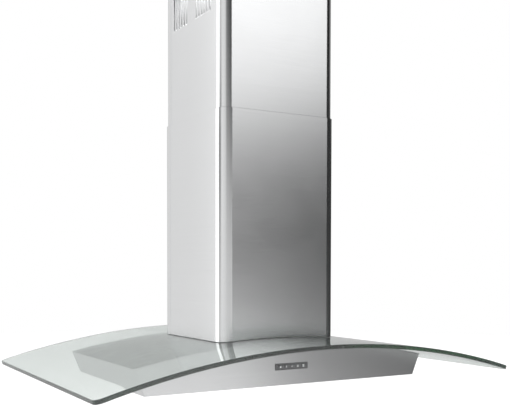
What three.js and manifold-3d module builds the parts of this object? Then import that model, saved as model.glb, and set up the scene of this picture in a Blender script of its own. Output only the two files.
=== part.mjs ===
// Island range hood: a curved glass canopy on a steel body, hung from the ceiling by a telescopic chimney.
// Units are millimetres, +Z is up, -Y is the side with the controls.
// The origin is the centre of the ceiling plate's upper face, so the whole hood hangs below Z = 0.
import * as THREE from "three";
import { mergeVertices } from "three/addons/utils/BufferGeometryUtils.js";
import Module from "manifold-3d";

const wasm = await Module();
wasm.setup();

// ---------------------------------------------------------------- driving dimensions
const overallHeight = 870; // ceiling to the lower edge of the canopy body
const fitGap = 0.3; // between pieces that touch on the real hood
const sheet = 1; // steel sheet of the chimneys and the body

const glassWidth = 900;
const glassDepth = 600;
const glassThickness = 8;
const glassRadius = 1590; // of the upper surface, about an axis along Y
const glassCornerRadius = 15;
const gasketThickness = 1.2;

const bodyBottomLength = 620.6;
const bodyTopLength = 659;
const bodyDepth = 332.8;
const bodyHeight = 78.6; // at the crown of the arched top plate

const lowerChimneyWidth = 268.2;
const lowerChimneyDepth = 257.8;
const chimneyCornerRadius = 23.4;
const telescopeClearance = 1.35; // between the lower chimney's inside and the upper one's outside
const lowerChimneyTop = 529.4; // above the lower edge of the body
const chimneyOverlap = 110; // hidden length of the upper chimney
const canopyRise = 100; // how far the canopy can slide up from here
const seamToCorner = 10; // from a side seam to the start of the rear rounded corner
const lapWidth = 12; // of the tongue behind each seam
const tongueEndInset = 14; // from the ends of a chimney to the ends of its tongues
const seamGap = 0.4;
const sealThickness = 1.2; // black seal under the lower chimney

const slotsPerGroup = 6;
const slotPitch = 11.5;
const slotWidth = 5;
const slotLength = 80;
const slotGroupOffset = 50; // of each group's middle from the chimney's middle
const slotTopDrop = 68; // from the ceiling to the top of the slots

const plateThickness = 2.5;
const ductHoleRadius = 80;
const screwHoleRadius = 4;
const angleLeg = 25;
const angleThickness = 2;
const angleClearance = 0.5; // between the nested upper and lower posts
const postCornerInset = 7.75; // from the upper chimney's inner face to the upper post
const postOverlap = 110; // of the upper and lower posts
const postClearance = 40; // left above the lower posts when the canopy is right up
const postSlotWidth = 8;
const postSlotLength = 280;
const tieHeight = 20;
const tieThickness = 2;
const upperTieDrop = 150; // from the ceiling to the top of the upper tie frame
const lowerTieDrop = 60; // from the top of the lower posts to the lower tie frame

const ringThickness = 3;
const ringEdgeInset = 5; // from the lower chimney's inner face
const airOpeningWidth = 184;
const airOpeningDepth = 172;
const glassOpeningClearance = 2;
const boltInset = 15; // from a lower post's outer faces to a clamp bolt's axis
const boltRadius = 4;
const boltHoleClearance = 0.6;
const glassHoleRadius = 6;
const boltHeadRadius = 7.5;
const boltHeadHeight = 5;

const panelRecess = 2; // of the bottom panel above the body's lower edge
const panelFlange = 14;
const filterWidth = 212;
const filterDepth = 252;
const filterThickness = 10;
const filterClearance = 1;
const filterBridge = 8; // bar of the bottom panel between the two filters
const filterRim = 14;
const filterHandleBar = 28;
const baffleSlotWidth = 9;
const bafflePitch = 15;
const filterTabWidth = 24;
const filterTabReach = 5;
const latchWidth = 30;
const latchLength = 14;
const latchTravel = 4;
const latchDepth = 4.4;

const lampOffsetX = 264;
const lampOffsetY = 105;
const lampHoleRadius = 29.5;
const lampFlangeWidth = 3.5;
const lampFlangeThickness = 1;
const lampHeight = 25;
const lampWall = 1.5;
const lensThickness = 3;

const controlHeight = 35.8; // of the strip's middle above the body's lower edge
const bezelWidth = 75;
const bezelHeight = 13;
const bezelThickness = 1.2;
const bezelCollarDepth = 8;
const bezelBorder = 3.2;
const buttonNames = [
  "button_light",
  "button_off",
  "button_speed_low",
  "button_speed_mid",
  "button_speed_high",
];
const buttonWidth = 9;
const buttonHeight = 6.6;
const buttonPitch = 13.2;
const buttonProud = 0.9;
const buttonDepth = 8.6;
const boardThickness = 1.6;

const drumRadius = 106;
const drumClearance = 17.4; // between the drum and the clamp ring at its crown
const housingWall = 2;
const housingHeadroom = 12; // from the drum's top to the housing's top
const housingMarginX = 1; // beside the outlet collar's flange
const housingMarginY = 9;
const inletRadius = 70;
const footWidth = 18;
const footInset = 8; // from the drum's side to a foot's middle
const impellerRadius = 84;
const impellerClearance = 14; // from the housing's side wall to the impeller
const bladeCount = 18;
const bladeChord = 12;
const bladeThickness = 1.6;
const bladeTilt = Math.PI / 6;
const hubThickness = 4;
const hubGap = 11.7; // from the motor's front to the hub
const rimWidth = 4;
const shaftRadius = 4;
const shaftOverhang = 8; // past the impeller's hub
const motorRadius = 42;
const motorLength = 62;
const motorBoreDepth = 20;
const bracketThickness = 2;
const bracketRim = 12;
const bracketArmWidth = 12;
const bracketArms = 3;

const collarRadius = 75;
const collarWall = 1.2;
const collarHeight = 45;
const collarFlangeWidth = 2;
const damperPinRadius = 2;
const damperPinRise = 20; // above the collar's flange
const flapThickness = 1.2;
const flapClearance = 1.8;

const wiringBoxSize = new THREE.Vector3(28, 80, 60);
const wiringBoxInset = 2; // from the outer faces of the lower posts
const wiringBoxRise = 20; // above the collar's flange
const glandRadius = 9;
const glandHeight = 18;
const glandBore = 4;
const capacitorRadius = 17;
const capacitorHeight = 60;

const archStep = 30; // length of one facet of an arched layer
const cornerSegments = 3; // doubled by three.js for an arc
const slotEndSegments = 2;
const largeRoundSegments = 36;
const roundSegments = 20;
const holeSegments = 10;

// ---------------------------------------------------------------- derived sizes
const seatGap = gasketThickness + 2 * fitGap;
const plateTopRadius = glassRadius - glassThickness - seatGap;
const archCentreZ = bodyHeight - plateTopRadius;
const ringTopRadius = glassRadius + fitGap + ringThickness;
const upperChimneyWidth = lowerChimneyWidth - 2 * (sheet + telescopeClearance);
const upperChimneyDepth = lowerChimneyDepth - 2 * (sheet + telescopeClearance);
const upperCornerRadius = chimneyCornerRadius - sheet - telescopeClearance / 2;
const upperPostX = upperChimneyWidth / 2 - sheet - postCornerInset;
const upperPostY = upperChimneyDepth / 2 - sheet - postCornerInset;
const lowerPostX = upperPostX - angleThickness - angleClearance;
const lowerPostY = upperPostY - angleThickness - angleClearance;
const boltX = lowerPostX - boltInset;
const boltY = lowerPostY - boltInset;
const upperPostTop = -plateThickness - fitGap;
const lowerPostTop = overallHeight - upperTieDrop - tieHeight - canopyRise - postClearance;
const upperPostBottom = lowerPostTop - postOverlap - overallHeight;
const panelTop = panelRecess + sheet;
const filterCentreX = filterBridge / 2 + filterClearance + filterWidth / 2;
const collarFlangeRadius = collarRadius + collarFlangeWidth;
const housingHalfWidth = collarFlangeRadius + housingMarginX;
const housingTopDepth = 2 * (collarFlangeRadius + housingMarginY);
const housingTopRise = drumRadius + housingHeadroom;
const blowerAxisHeight = archCentreZ + ringTopRadius + drumClearance + drumRadius;
const collarBase = blowerAxisHeight + housingTopRise + fitGap;
const motorRear = -housingHalfWidth + fitGap;
const motorFront = motorRear + motorLength;
const impellerHalfWidth = housingHalfWidth - housingWall - impellerClearance;
const hubBack = motorFront + hubGap;
const hubFront = hubBack + hubThickness;
const lampFlangeRadius = lampHoleRadius + lampFlangeWidth;

// Height of the arched surface of a given radius, above the body's lower edge.
const archHeight = (x, radius) => archCentreZ + Math.sqrt(radius * radius - x * x);

// ---------------------------------------------------------------- materials
const finish = (color, roughness, metalness, extra = {}) =>
  new THREE.MeshStandardMaterial({ color, roughness, metalness, ...extra });
const brushedSteel = finish(0xc4c6c7, 0.35, 1);
const zincSteel = finish(0xa9adb0, 0.5, 1);
const greenGlass = finish(0xcfe3dc, 0.05, 0, { transparent: true, opacity: 0.35 });
const clearGlass = finish(0xf2f5f5, 0.2, 0, { transparent: true, opacity: 0.5 });
const aluminium = finish(0xb9bcbe, 0.45, 1);
const blackRubber = finish(0x1c1d1e, 0.85, 0);
const darkPlastic = finish(0x3a3b3c, 0.4, 0);
const greyPlastic = finish(0x6d7073, 0.6, 0);
const keyPlastic = finish(0x5f6062, 0.4, 0);
const boardGreen = finish(0x2c5a3c, 0.6, 0);

// ---------------------------------------------------------------- solid modelling helpers
// A closed three.js geometry as a manifold-3d solid.
function solid(geometry) {
  const bare = geometry.clone();
  bare.deleteAttribute("normal");
  bare.deleteAttribute("uv");
  const merged = mergeVertices(bare, 1e-4);
  const vertProperties = merged.attributes.position.array;
  const triVerts = new Uint32Array(merged.index.array);
  return new wasm.Manifold(new wasm.Mesh({ numProp: 3, vertProperties, triVerts }));
}

// A manifold-3d solid as a flat-shaded three.js geometry.
function geometryOf(shape) {
  const mesh = shape.getMesh();
  const indexed = new THREE.BufferGeometry();
  indexed.setAttribute("position", new THREE.BufferAttribute(mesh.vertProperties.slice(), 3));
  indexed.setIndex(new THREE.BufferAttribute(mesh.triVerts.slice(), 1));
  const geometry = indexed.toNonIndexed();
  geometry.computeVertexNormals();
  return geometry;
}

function addPart(group, name, material, shape) {
  const mesh = new THREE.Mesh(geometryOf(shape), material);
  mesh.name = name;
  group.add(mesh);
  return mesh;
}

const union = (first, ...rest) => rest.reduce((whole, next) => whole.add(next), first);
const cut = (first, ...rest) => rest.reduce((whole, next) => whole.subtract(next), first);

function box(x0, x1, y0, y1, z0, z1) {
  const geometry = new THREE.BoxGeometry(x1 - x0, y1 - y0, z1 - z0);
  geometry.translate((x0 + x1) / 2, (y0 + y1) / 2, (z0 + z1) / 2);
  return solid(geometry);
}

function polygon(points) {
  return new THREE.Shape(points.map(([x, y]) => new THREE.Vector2(x, y)));
}

// Extrudes a shape drawn in X and Y from z0 to z1.
function prismZ(shape, z0, z1) {
  const options = { depth: z1 - z0, bevelEnabled: false, curveSegments: cornerSegments };
  return solid(new THREE.ExtrudeGeometry(shape, options).translate(0, 0, z0));
}

// Extrudes a shape drawn in X and Z from y0 to y1.
function prismY(shape, y0, y1) {
  const options = { depth: y1 - y0, bevelEnabled: false };
  return solid(new THREE.ExtrudeGeometry(shape, options).rotateX(Math.PI / 2).translate(0, y1, 0));
}

function roundedRectangle(width, depth, radius) {
  const x = width / 2 - radius;
  const y = depth / 2 - radius;
  const shape = new THREE.Shape();
  shape.absarc(x, y, radius, 0, Math.PI / 2);
  shape.absarc(-x, y, radius, Math.PI / 2, Math.PI);
  shape.absarc(-x, -y, radius, Math.PI, 1.5 * Math.PI);
  shape.absarc(x, -y, radius, 1.5 * Math.PI, 2 * Math.PI);
  return shape;
}

// Cylinder along Z with its middle at (x, y).
function rod(radius, z0, z1, segments = holeSegments, x = 0, y = 0) {
  const geometry = new THREE.CylinderGeometry(radius, radius, z1 - z0, segments);
  geometry.rotateX(Math.PI / 2).translate(x, y, (z0 + z1) / 2);
  return solid(geometry);
}

// Cylinder along X about the blower's axis.
function axleRod(radius, x0, x1, segments = roundSegments) {
  const geometry = new THREE.CylinderGeometry(radius, radius, x1 - x0, segments);
  geometry.rotateZ(Math.PI / 2).translate((x0 + x1) / 2, 0, 0);
  return solid(geometry);
}

// Turns a profile of [radius, height] points about the Z axis.
function lathe(profile, segments = roundSegments) {
  const points = profile.map(([r, h]) => new THREE.Vector2(r, h));
  return solid(new THREE.LatheGeometry(points, segments).rotateX(Math.PI / 2));
}

function archPoints(radius, halfLength) {
  const points = [];
  const count = Math.ceil((2 * halfLength) / archStep);
  for (let i = 0; i <= count; i += 1) {
    const x = halfLength * ((2 * i) / count - 1);
    points.push([x, archHeight(x, radius)]);
  }
  return points;
}

// Curved layer between two concentric radii, wider than any piece cut from it.
function archLayer(outerRadius, innerRadius, halfLength, halfDepth) {
  const lower = archPoints(innerRadius, halfLength);
  const upper = archPoints(outerRadius, halfLength).reverse();
  return prismY(polygon([...lower, ...upper]), -halfDepth, halfDepth);
}

// Everything below an arched surface, down to a flat floor.
function underArch(radius, halfLength, halfDepth, floor) {
  const upper = archPoints(radius, halfLength).reverse();
  const outline = [[-halfLength, floor], [halfLength, floor], ...upper];
  return prismY(polygon(outline), -halfDepth, halfDepth);
}

// Every combination of left or right with front or rear: name ending, sign of X, sign of Y.
const corners = [
  ["front_left", -1, -1],
  ["front_right", 1, -1],
  ["rear_left", -1, 1],
  ["rear_right", 1, 1],
];
const sides = [["left", -1], ["right", 1]];

// ---------------------------------------------------------------- chimneys
// A tube of sheet with rounded corners between z0 and z1.
function sheetTube(width, depth, radius, z0, z1) {
  const bore = roundedRectangle(width - 2 * sheet, depth - 2 * sheet, radius - sheet);
  return cut(prismZ(roundedRectangle(width, depth, radius), z0, z1), prismZ(bore, z0 - 1, z1 + 1));
}

// A chimney tube, split at its side seams into a front and a rear piece.
function chimneyHalves(width, depth, radius, z0, z1) {
  const tube = sheetTube(width, depth, radius, z0, z1);
  const seamY = depth / 2 - radius - seamToCorner;
  const reach = Math.max(width, depth);
  const front = tube.intersect(box(-reach, reach, -reach, seamY, z0 - 1, z1 + 1));
  const rear = tube.intersect(box(-reach, reach, seamY + seamGap, reach, z0 - 1, z1 + 1));
  return { front, rear, seamY };
}

// The tongues of the rear piece that lie behind the seams.
function seamTongues(width, seamY, z0, z1) {
  const inner = width / 2 - sheet;
  const tongues = sides.map(([, side]) => {
    const strip = [side * (inner - fitGap), side * (inner - fitGap - sheet)].sort((a, b) => a - b);
    const root = [side * (inner + sheet / 2), side * (inner - fitGap - sheet)].sort((a, b) => a - b);
    return union(
      box(strip[0], strip[1], seamY - lapWidth, seamY + seamToCorner / 2, z0, z1),
      box(root[0], root[1], seamY + seamGap, seamY + seamToCorner / 2, z0, z1),
    );
  });
  return union(...tongues);
}

function ventSlots(z0, z1) {
  const slots = [];
  const outline = new THREE.Shape();
  const half = slotWidth / 2;
  outline.absarc(0, z1 - half, half, 0, Math.PI);
  outline.absarc(0, z0 + half, half, Math.PI, 2 * Math.PI);
  const across = upperChimneyWidth + 2;
  for (const group of [-slotGroupOffset, slotGroupOffset]) {
    for (let i = 0; i < slotsPerGroup; i += 1) {
      const y = group + (i - (slotsPerGroup - 1) / 2) * slotPitch;
      const options = { depth: across, bevelEnabled: false, curveSegments: slotEndSegments };
      const slot = new THREE.ExtrudeGeometry(outline, options);
      slot.rotateX(Math.PI / 2).rotateZ(Math.PI / 2).translate(-across / 2, y, 0);
      slots.push(solid(slot));
    }
  }
  return slots;
}

function addUpperChimney(group) {
  const bottom = lowerChimneyTop - chimneyOverlap - overallHeight;
  const top = -sheet;
  const width = upperChimneyWidth;
  const halves = chimneyHalves(width, upperChimneyDepth, upperCornerRadius, bottom, top);
  const slots = ventSlots(-slotTopDrop - slotLength, -slotTopDrop);
  const tongues = seamTongues(width, halves.seamY, bottom + tongueEndInset, top - tongueEndInset);
  addPart(group, "upper_chimney_front", brushedSteel, cut(halves.front, ...slots));
  addPart(group, "upper_chimney_rear", brushedSteel, cut(union(halves.rear, tongues), ...slots));
}

function addLowerChimney(group) {
  const sealTopRadius = glassRadius + fitGap + sealThickness;
  const footRadius = sealTopRadius + fitGap;
  const width = lowerChimneyWidth;
  const depth = lowerChimneyDepth;
  const foot = underArch(footRadius, width, depth, -1);
  const halves = chimneyHalves(width, depth, chimneyCornerRadius, 0, lowerChimneyTop);
  const tongueTop = lowerChimneyTop - chimneyOverlap - canopyRise - tongueEndInset;
  const tongues = seamTongues(width, halves.seamY, bodyHeight, tongueTop);
  addPart(group, "lower_chimney_front", brushedSteel, cut(halves.front, foot));
  addPart(group, "lower_chimney_rear", brushedSteel, cut(union(halves.rear, tongues), foot));
  const ring = sheetTube(width, depth, chimneyCornerRadius, 0, lowerChimneyTop);
  const layer = archLayer(sealTopRadius, glassRadius + fitGap, width, depth);
  addPart(group, "chimney_base_seal", blackRubber, ring.intersect(layer));
}

// ---------------------------------------------------------------- ceiling frame
// An angle post whose outer corner is at (x, y) and whose legs run towards the middle.
function anglePost(x, y, signX, signY, z0, z1) {
  const outline = [
    [x, y],
    [x - angleLeg, y],
    [x - angleLeg, y - angleThickness],
    [x - angleThickness, y - angleThickness],
    [x - angleThickness, y - angleLeg],
    [x, y - angleLeg],
  ].map(([px, py]) => [px * signX, py * signY]);
  if (signX * signY < 0) outline.reverse();
  return prismZ(polygon(outline), z0, z1);
}

function addCeilingPlate(group) {
  const width = 2 * (upperPostX + angleThickness);
  const depth = 2 * (upperPostY + angleThickness);
  const holes = corners.map(([, sx, sy]) => {
    const x = sx * (upperPostX - angleLeg + screwHoleRadius);
    const y = sy * (upperPostY - angleLeg + screwHoleRadius);
    return rod(screwHoleRadius, -plateThickness - 1, 1, holeSegments, x, y);
  });
  const duct = rod(ductHoleRadius, -plateThickness - 1, 1, largeRoundSegments);
  const outline = roundedRectangle(width, depth, angleThickness + postCornerInset);
  addPart(group, "ceiling_plate", zincSteel, cut(prismZ(outline, -plateThickness, 0), duct, ...holes));
}

function addUpperPosts(group) {
  const slotTop = upperPostTop - upperTieDrop;
  const slotBottom = Math.max(slotTop - postSlotLength, upperPostBottom + postSlotWidth);
  for (const [ending, sx, sy] of corners) {
    const post = anglePost(upperPostX, upperPostY, sx, sy, upperPostBottom, upperPostTop);
    const faceX = sx * (upperPostX - angleThickness / 2);
    const slotY = sy * (upperPostY - (angleLeg + angleThickness) / 2);
    const slot = box(
      faceX - angleThickness, faceX + angleThickness,
      slotY - postSlotWidth / 2, slotY + postSlotWidth / 2,
      slotBottom, slotTop,
    );
    addPart(group, `upper_post_${ending}`, zincSteel, cut(post, slot));
  }
}

// A rectangular frame of upright strip.
function tieFrame(halfX, halfY, z0, z1) {
  const boreX = halfX - tieThickness;
  const boreY = halfY - tieThickness;
  const bore = box(-boreX, boreX, -boreY, boreY, z0 - 1, z1 + 1);
  return cut(box(-halfX, halfX, -halfY, halfY, z0, z1), bore);
}

function addUpperTie(group) {
  const halfX = upperPostX - angleThickness - fitGap;
  const halfY = upperPostY - angleThickness - fitGap;
  const tie = tieFrame(halfX, halfY, -upperTieDrop - tieHeight, -upperTieDrop);
  addPart(group, "upper_tie_frame", zincSteel, tie);
}

function addChimneyBrackets(group) {
  const outer = upperChimneyWidth / 2 - sheet - fitGap;
  const top = upperPostTop;
  const halfDepth = angleLeg / 2;
  for (const [ending, side] of sides) {
    const flat = [side * (outer - angleLeg), side * outer].sort((a, b) => a - b);
    const upright = [side * (outer - angleThickness), side * outer].sort((a, b) => a - b);
    const bracket = union(
      box(flat[0], flat[1], -halfDepth, halfDepth, top - angleThickness, top),
      box(upright[0], upright[1], -halfDepth, halfDepth, top - angleLeg, top),
    );
    addPart(group, `upper_chimney_bracket_${ending}`, zincSteel, bracket);
  }
}

// ---------------------------------------------------------------- lower frame
function airOpening(clearance) {
  const width = airOpeningWidth + 2 * clearance;
  const depth = airOpeningDepth + 2 * clearance;
  return prismZ(roundedRectangle(width, depth, angleThickness + clearance), 0, 2 * bodyHeight);
}

function boltHoles(radius) {
  return corners.map(([, sx, sy]) => rod(radius, 0, 2 * bodyHeight, holeSegments, sx * boltX, sy * boltY));
}

// The plan of the clamp ring and of the gasket below the glass.
function ringPlan() {
  const width = lowerChimneyWidth - 2 * (sheet + ringEdgeInset);
  const depth = lowerChimneyDepth - 2 * (sheet + ringEdgeInset);
  return prismZ(roundedRectangle(width, depth, chimneyCornerRadius - ringEdgeInset), 0, 2 * bodyHeight);
}

function addLowerFrame(group) {
  const reach = lowerChimneyWidth;
  const ring = archLayer(ringTopRadius, glassRadius + fitGap, reach, reach).intersect(ringPlan());
  const holes = boltHoles(boltRadius + boltHoleClearance);
  addPart(group, "clamp_ring", zincSteel, cut(ring, airOpening(0), ...holes));

  const postFoot = archHeight(lowerPostX - angleLeg, ringTopRadius) + fitGap;
  for (const [ending, sx, sy] of corners) {
    const post = anglePost(lowerPostX, lowerPostY, sx, sy, postFoot, lowerPostTop);
    addPart(group, `lower_post_${ending}`, zincSteel, post);
  }
  const halfX = lowerPostX - angleThickness - fitGap;
  const halfY = lowerPostY - angleThickness - fitGap;
  const tieTop = lowerPostTop - lowerTieDrop;
  const tie = tieFrame(halfX, halfY, tieTop - tieHeight, tieTop);
  addPart(group, "lower_tie_frame", zincSteel, tie);
}

function addClampBolts(group) {
  const headBase = archHeight(boltX - boltHeadRadius, ringTopRadius) + fitGap;
  const nutTop = archHeight(boltX + boltHeadRadius, plateTopRadius - sheet) - fitGap;
  for (const [ending, sx, sy] of corners) {
    const x = sx * boltX;
    const y = sy * boltY;
    const bolt = union(
      rod(boltHeadRadius, headBase, headBase + boltHeadHeight, 6, x, y),
      rod(boltRadius, nutTop - boltHeadHeight - 1, headBase + 1, holeSegments, x, y),
      rod(boltHeadRadius, nutTop - boltHeadHeight, nutTop, 6, x, y),
    );
    addPart(group, `clamp_bolt_${ending}`, zincSteel, bolt);
  }
}

// ---------------------------------------------------------------- glass and body
function addGlass(group) {
  const reach = glassWidth / 2 + 2;
  const plan = roundedRectangle(glassWidth, glassDepth, glassCornerRadius);
  const sheetOfGlass = archLayer(glassRadius, glassRadius - glassThickness, reach, glassDepth / 2 + 1);
  const glass = sheetOfGlass.intersect(prismZ(plan, -glassDepth, glassDepth));
  const opening = airOpening(glassOpeningClearance);
  addPart(group, "glass_canopy", greenGlass, cut(glass, opening, ...boltHoles(glassHoleRadius)));

  const gasketTop = glassRadius - glassThickness - fitGap;
  const layer = archLayer(gasketTop, gasketTop - gasketThickness, lowerChimneyWidth, lowerChimneyWidth);
  const gasket = cut(layer.intersect(ringPlan()), airOpening(0), ...boltHoles(glassHoleRadius));
  addPart(group, "glass_gasket", blackRubber, gasket);
}

// A block as deep as asked, whose ends slope outwards as the body's do.
function slopingBlock(inset, depth, z0, z1) {
  const topEnd = archHeight(bodyTopLength / 2, plateTopRadius);
  const slope = (bodyTopLength - bodyBottomLength) / 2 / topEnd;
  const halfAt = (z) => bodyBottomLength / 2 + slope * z - inset;
  const outline = [[-halfAt(z0), z0], [halfAt(z0), z0], [halfAt(z1), z1], [-halfAt(z1), z1]];
  return prismY(polygon(outline), -depth / 2, depth / 2);
}

function controlCutout(clearance) {
  const halfX = bezelWidth / 2 - bezelBorder + clearance;
  const halfZ = bezelHeight / 2 - bezelBorder / 2 + clearance;
  const y = -bodyDepth / 2;
  return box(-halfX, halfX, y - 2 * sheet, y + 2 * sheet, controlHeight - halfZ, controlHeight + halfZ);
}

function addBody(group) {
  const reach = bodyTopLength / 2 + 5;
  const wallTop = underArch(plateTopRadius - sheet - fitGap, reach, bodyDepth, -1);
  const outside = slopingBlock(0, bodyDepth, 0, bodyHeight);
  const inside = slopingBlock(sheet, bodyDepth - 2 * sheet, -1, bodyHeight + 1);
  const walls = cut(outside.intersect(wallTop), inside, controlCutout(fitGap));
  addPart(group, "canopy_body", brushedSteel, walls);

  const layer = archLayer(plateTopRadius, plateTopRadius - sheet, reach, bodyDepth);
  const block = slopingBlock(0, bodyDepth, 0, bodyHeight + sheet);
  const holes = boltHoles(boltRadius + boltHoleClearance);
  addPart(group, "canopy_top_plate", brushedSteel, cut(layer.intersect(block), airOpening(0), ...holes));
}

function addBottomPanel(group) {
  const halfX = bodyBottomLength / 2 - sheet - 2 * fitGap;
  const halfY = bodyDepth / 2 - sheet - fitGap;
  const top = panelRecess + panelFlange;
  const openX = filterCentreX + filterWidth / 2 + filterClearance;
  const openY = filterDepth / 2 + filterClearance;
  const openings = sides.map(([, side]) => {
    const span = [side * (filterBridge / 2), side * openX].sort((a, b) => a - b);
    return box(span[0], span[1], -openY, openY, 0, top);
  });
  const lampHoles = corners.map(([, sx, sy]) =>
    rod(lampHoleRadius, 0, top, roundSegments, sx * lampOffsetX, sy * lampOffsetY));
  const tray = cut(
    box(-halfX, halfX, -halfY, halfY, panelRecess, top),
    box(-halfX + sheet, halfX - sheet, -halfY + sheet, halfY - sheet, panelTop, top + 1),
  );
  addPart(group, "bottom_panel", brushedSteel, cut(tray, ...openings, ...lampHoles));
}

// ---------------------------------------------------------------- filters
// Channels along Y on one level of a filter, the two levels half a pitch apart.
function baffleChannels(count, z0, z1) {
  const y0 = -filterDepth / 2 + filterHandleBar;
  const y1 = filterDepth / 2 - filterRim;
  const channels = [];
  for (let i = 0; i < count; i += 1) {
    const x = (i - (count - 1) / 2) * bafflePitch;
    channels.push(box(x - baffleSlotWidth / 2, x + baffleSlotWidth / 2, y0, y1, z0, z1));
  }
  return channels;
}

function addFilters(group) {
  const levels = panelRecess + filterThickness / 2;
  const top = panelRecess + filterThickness;
  const count = Math.floor((filterWidth - 2 * filterRim) / bafflePitch);
  const halfX = filterWidth / 2;
  const halfY = filterDepth / 2;
  const latchFront = -halfY + (filterHandleBar - latchLength - latchTravel) / 2;
  const pocketHalf = latchWidth / 2 + filterClearance;
  const tabBase = panelTop + fitGap;
  for (const [ending, side] of sides) {
    const plain = union(
      box(-halfX, halfX, -halfY, halfY, panelRecess, top),
      ...sides.map(([, s]) => {
        const x = s * (halfX - filterRim - filterTabWidth);
        const y1 = halfY + filterTabReach;
        return box(x - filterTabWidth / 2, x + filterTabWidth / 2, halfY - 1, y1, tabBase, tabBase + sheet);
      }),
    );
    const pocket = box(
      -pocketHalf, pocketHalf, latchFront - fitGap, latchFront + latchLength + latchTravel + fitGap,
      panelRecess - 1, panelRecess + latchDepth + 2 * fitGap,
    );
    const lower = baffleChannels(count, panelRecess - 1, levels);
    const upper = baffleChannels(count - 1, levels - 1, top + 1);
    const baffles = cut(plain, pocket, ...lower, ...upper);
    const filter = addPart(group, `grease_filter_${ending}`, aluminium, baffles);
    filter.position.x = side * filterCentreX;

    const z0 = panelRecess + fitGap;
    const grip = box(
      -latchWidth / 3, latchWidth / 3, latchFront + latchLength / 3, latchFront + (2 * latchLength) / 3,
      z0 - 1, z0 + latchDepth / 2,
    );
    const slide = box(
      -latchWidth / 2, latchWidth / 2, latchFront, latchFront + latchLength, z0, panelRecess + latchDepth,
    );
    const latch = addPart(group, `filter_latch_${ending}`, darkPlastic, cut(slide, grip));
    latch.position.x = side * filterCentreX;
  }
}

// ---------------------------------------------------------------- lamps
function addLamps(group) {
  const bodyRadius = lampHoleRadius - fitGap;
  const boreRadius = bodyRadius - lampWall;
  const flangeTop = panelRecess - fitGap;
  const flangeBase = flangeTop - lampFlangeThickness;
  const top = flangeBase + lampHeight;
  const housing = lathe([
    [0, top],
    [0, top - lampWall],
    [boreRadius, top - lampWall],
    [boreRadius, flangeBase],
    [lampFlangeRadius, flangeBase],
    [lampFlangeRadius, flangeTop],
    [bodyRadius, flangeTop],
    [bodyRadius, top],
    [0, top],
  ]);
  const lens = rod(boreRadius - fitGap, panelRecess, panelRecess + lensThickness, roundSegments);
  for (const [ending, sx, sy] of corners) {
    const at = new THREE.Vector3(sx * lampOffsetX, sy * lampOffsetY, 0);
    addPart(group, `lamp_housing_${ending}`, brushedSteel, housing).position.copy(at);
    addPart(group, `lamp_lens_${ending}`, clearGlass, lens).position.copy(at);
  }
}

// ---------------------------------------------------------------- controls
const buttonPlace = (index) => (index - (buttonNames.length - 1) / 2) * buttonPitch;

function addControls(group) {
  const controls = new THREE.Group();
  controls.position.set(0, -bodyDepth / 2, controlHeight);
  const back = -fitGap;
  const collarX = bezelWidth / 2 - bezelBorder;
  const collarZ = bezelHeight / 2 - bezelBorder / 2;
  const windows = buttonNames.map((name, i) => {
    const x = buttonPlace(i);
    const halfX = buttonWidth / 2 + fitGap;
    const halfZ = buttonHeight / 2 + fitGap;
    return box(x - halfX, x + halfX, -2 * bezelBorder, 2 * bezelCollarDepth, -halfZ, halfZ);
  });
  const halfWidth = bezelWidth / 2;
  const halfHeight = bezelHeight / 2;
  const plate = box(-halfWidth, halfWidth, back - bezelThickness, back, -halfHeight, halfHeight);
  const collar = box(-collarX, collarX, back - bezelThickness / 2, bezelCollarDepth, -collarZ, collarZ);
  addPart(controls, "control_bezel", darkPlastic, cut(union(plate, collar), ...windows));

  const face = back - bezelThickness - buttonProud;
  const keyX = buttonWidth / 2;
  const keyZ = buttonHeight / 2;
  buttonNames.forEach((name, i) => {
    const button = box(-keyX, keyX, face, face + buttonDepth, -keyZ, keyZ);
    addPart(controls, name, keyPlastic, button).position.x = buttonPlace(i);
  });

  const boardY = bezelCollarDepth + fitGap;
  const boardZ = collarZ + bezelBorder;
  const board = box(-collarX, collarX, boardY, boardY + boardThickness, -boardZ, boardZ);
  addPart(controls, "control_board", boardGreen, board);
  group.add(controls);
}

// ---------------------------------------------------------------- blower
function addHousing(group) {
  const reach = housingHalfWidth;
  const wall = housingWall;
  const halfY = housingTopDepth / 2;
  const outside = union(
    axleRod(drumRadius, -reach, reach, largeRoundSegments),
    box(-reach, reach, -halfY, halfY, 0, housingTopRise),
  );
  const inside = union(
    axleRod(drumRadius - wall, -reach + wall, reach - wall, largeRoundSegments),
    box(-reach + wall, reach - wall, -halfY + wall, halfY - wall, 0, housingTopRise - wall),
  );
  const ports = [
    axleRod(inletRadius, -reach - 1, reach + 1, roundSegments),
    rod(collarRadius - 2 * collarWall, 0, housingTopRise + 1, roundSegments),
  ];
  const feet = [];
  const footInner = reach - footWidth;
  const footBase = archHeight(footInner, ringTopRadius) + fitGap - blowerAxisHeight;
  for (const [, sx, sy] of corners) {
    const leg = [sx * reach, sx * (reach - wall)].sort((a, b) => a - b);
    const sole = [sx * reach, sx * footInner].sort((a, b) => a - b);
    const y = sy * (drumRadius - footInset);
    feet.push(box(leg[0], leg[1], y - footWidth / 2, y + footWidth / 2, footBase, -drumRadius / 4));
    feet.push(box(sole[0], sole[1], y - footWidth / 2, y + footWidth / 2, footBase, footBase + wall));
  }
  const housing = cut(union(outside, ...feet), inside, ...ports);
  const span = 2 * drumRadius;
  for (const [ending, side] of sides) {
    const half = [side * (fitGap / 2), side * (reach + 1)].sort((a, b) => a - b);
    const shell = housing.intersect(box(half[0], half[1], -span, span, -span, span));
    addPart(group, `blower_housing_${ending}`, greyPlastic, shell);
  }
}

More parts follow.
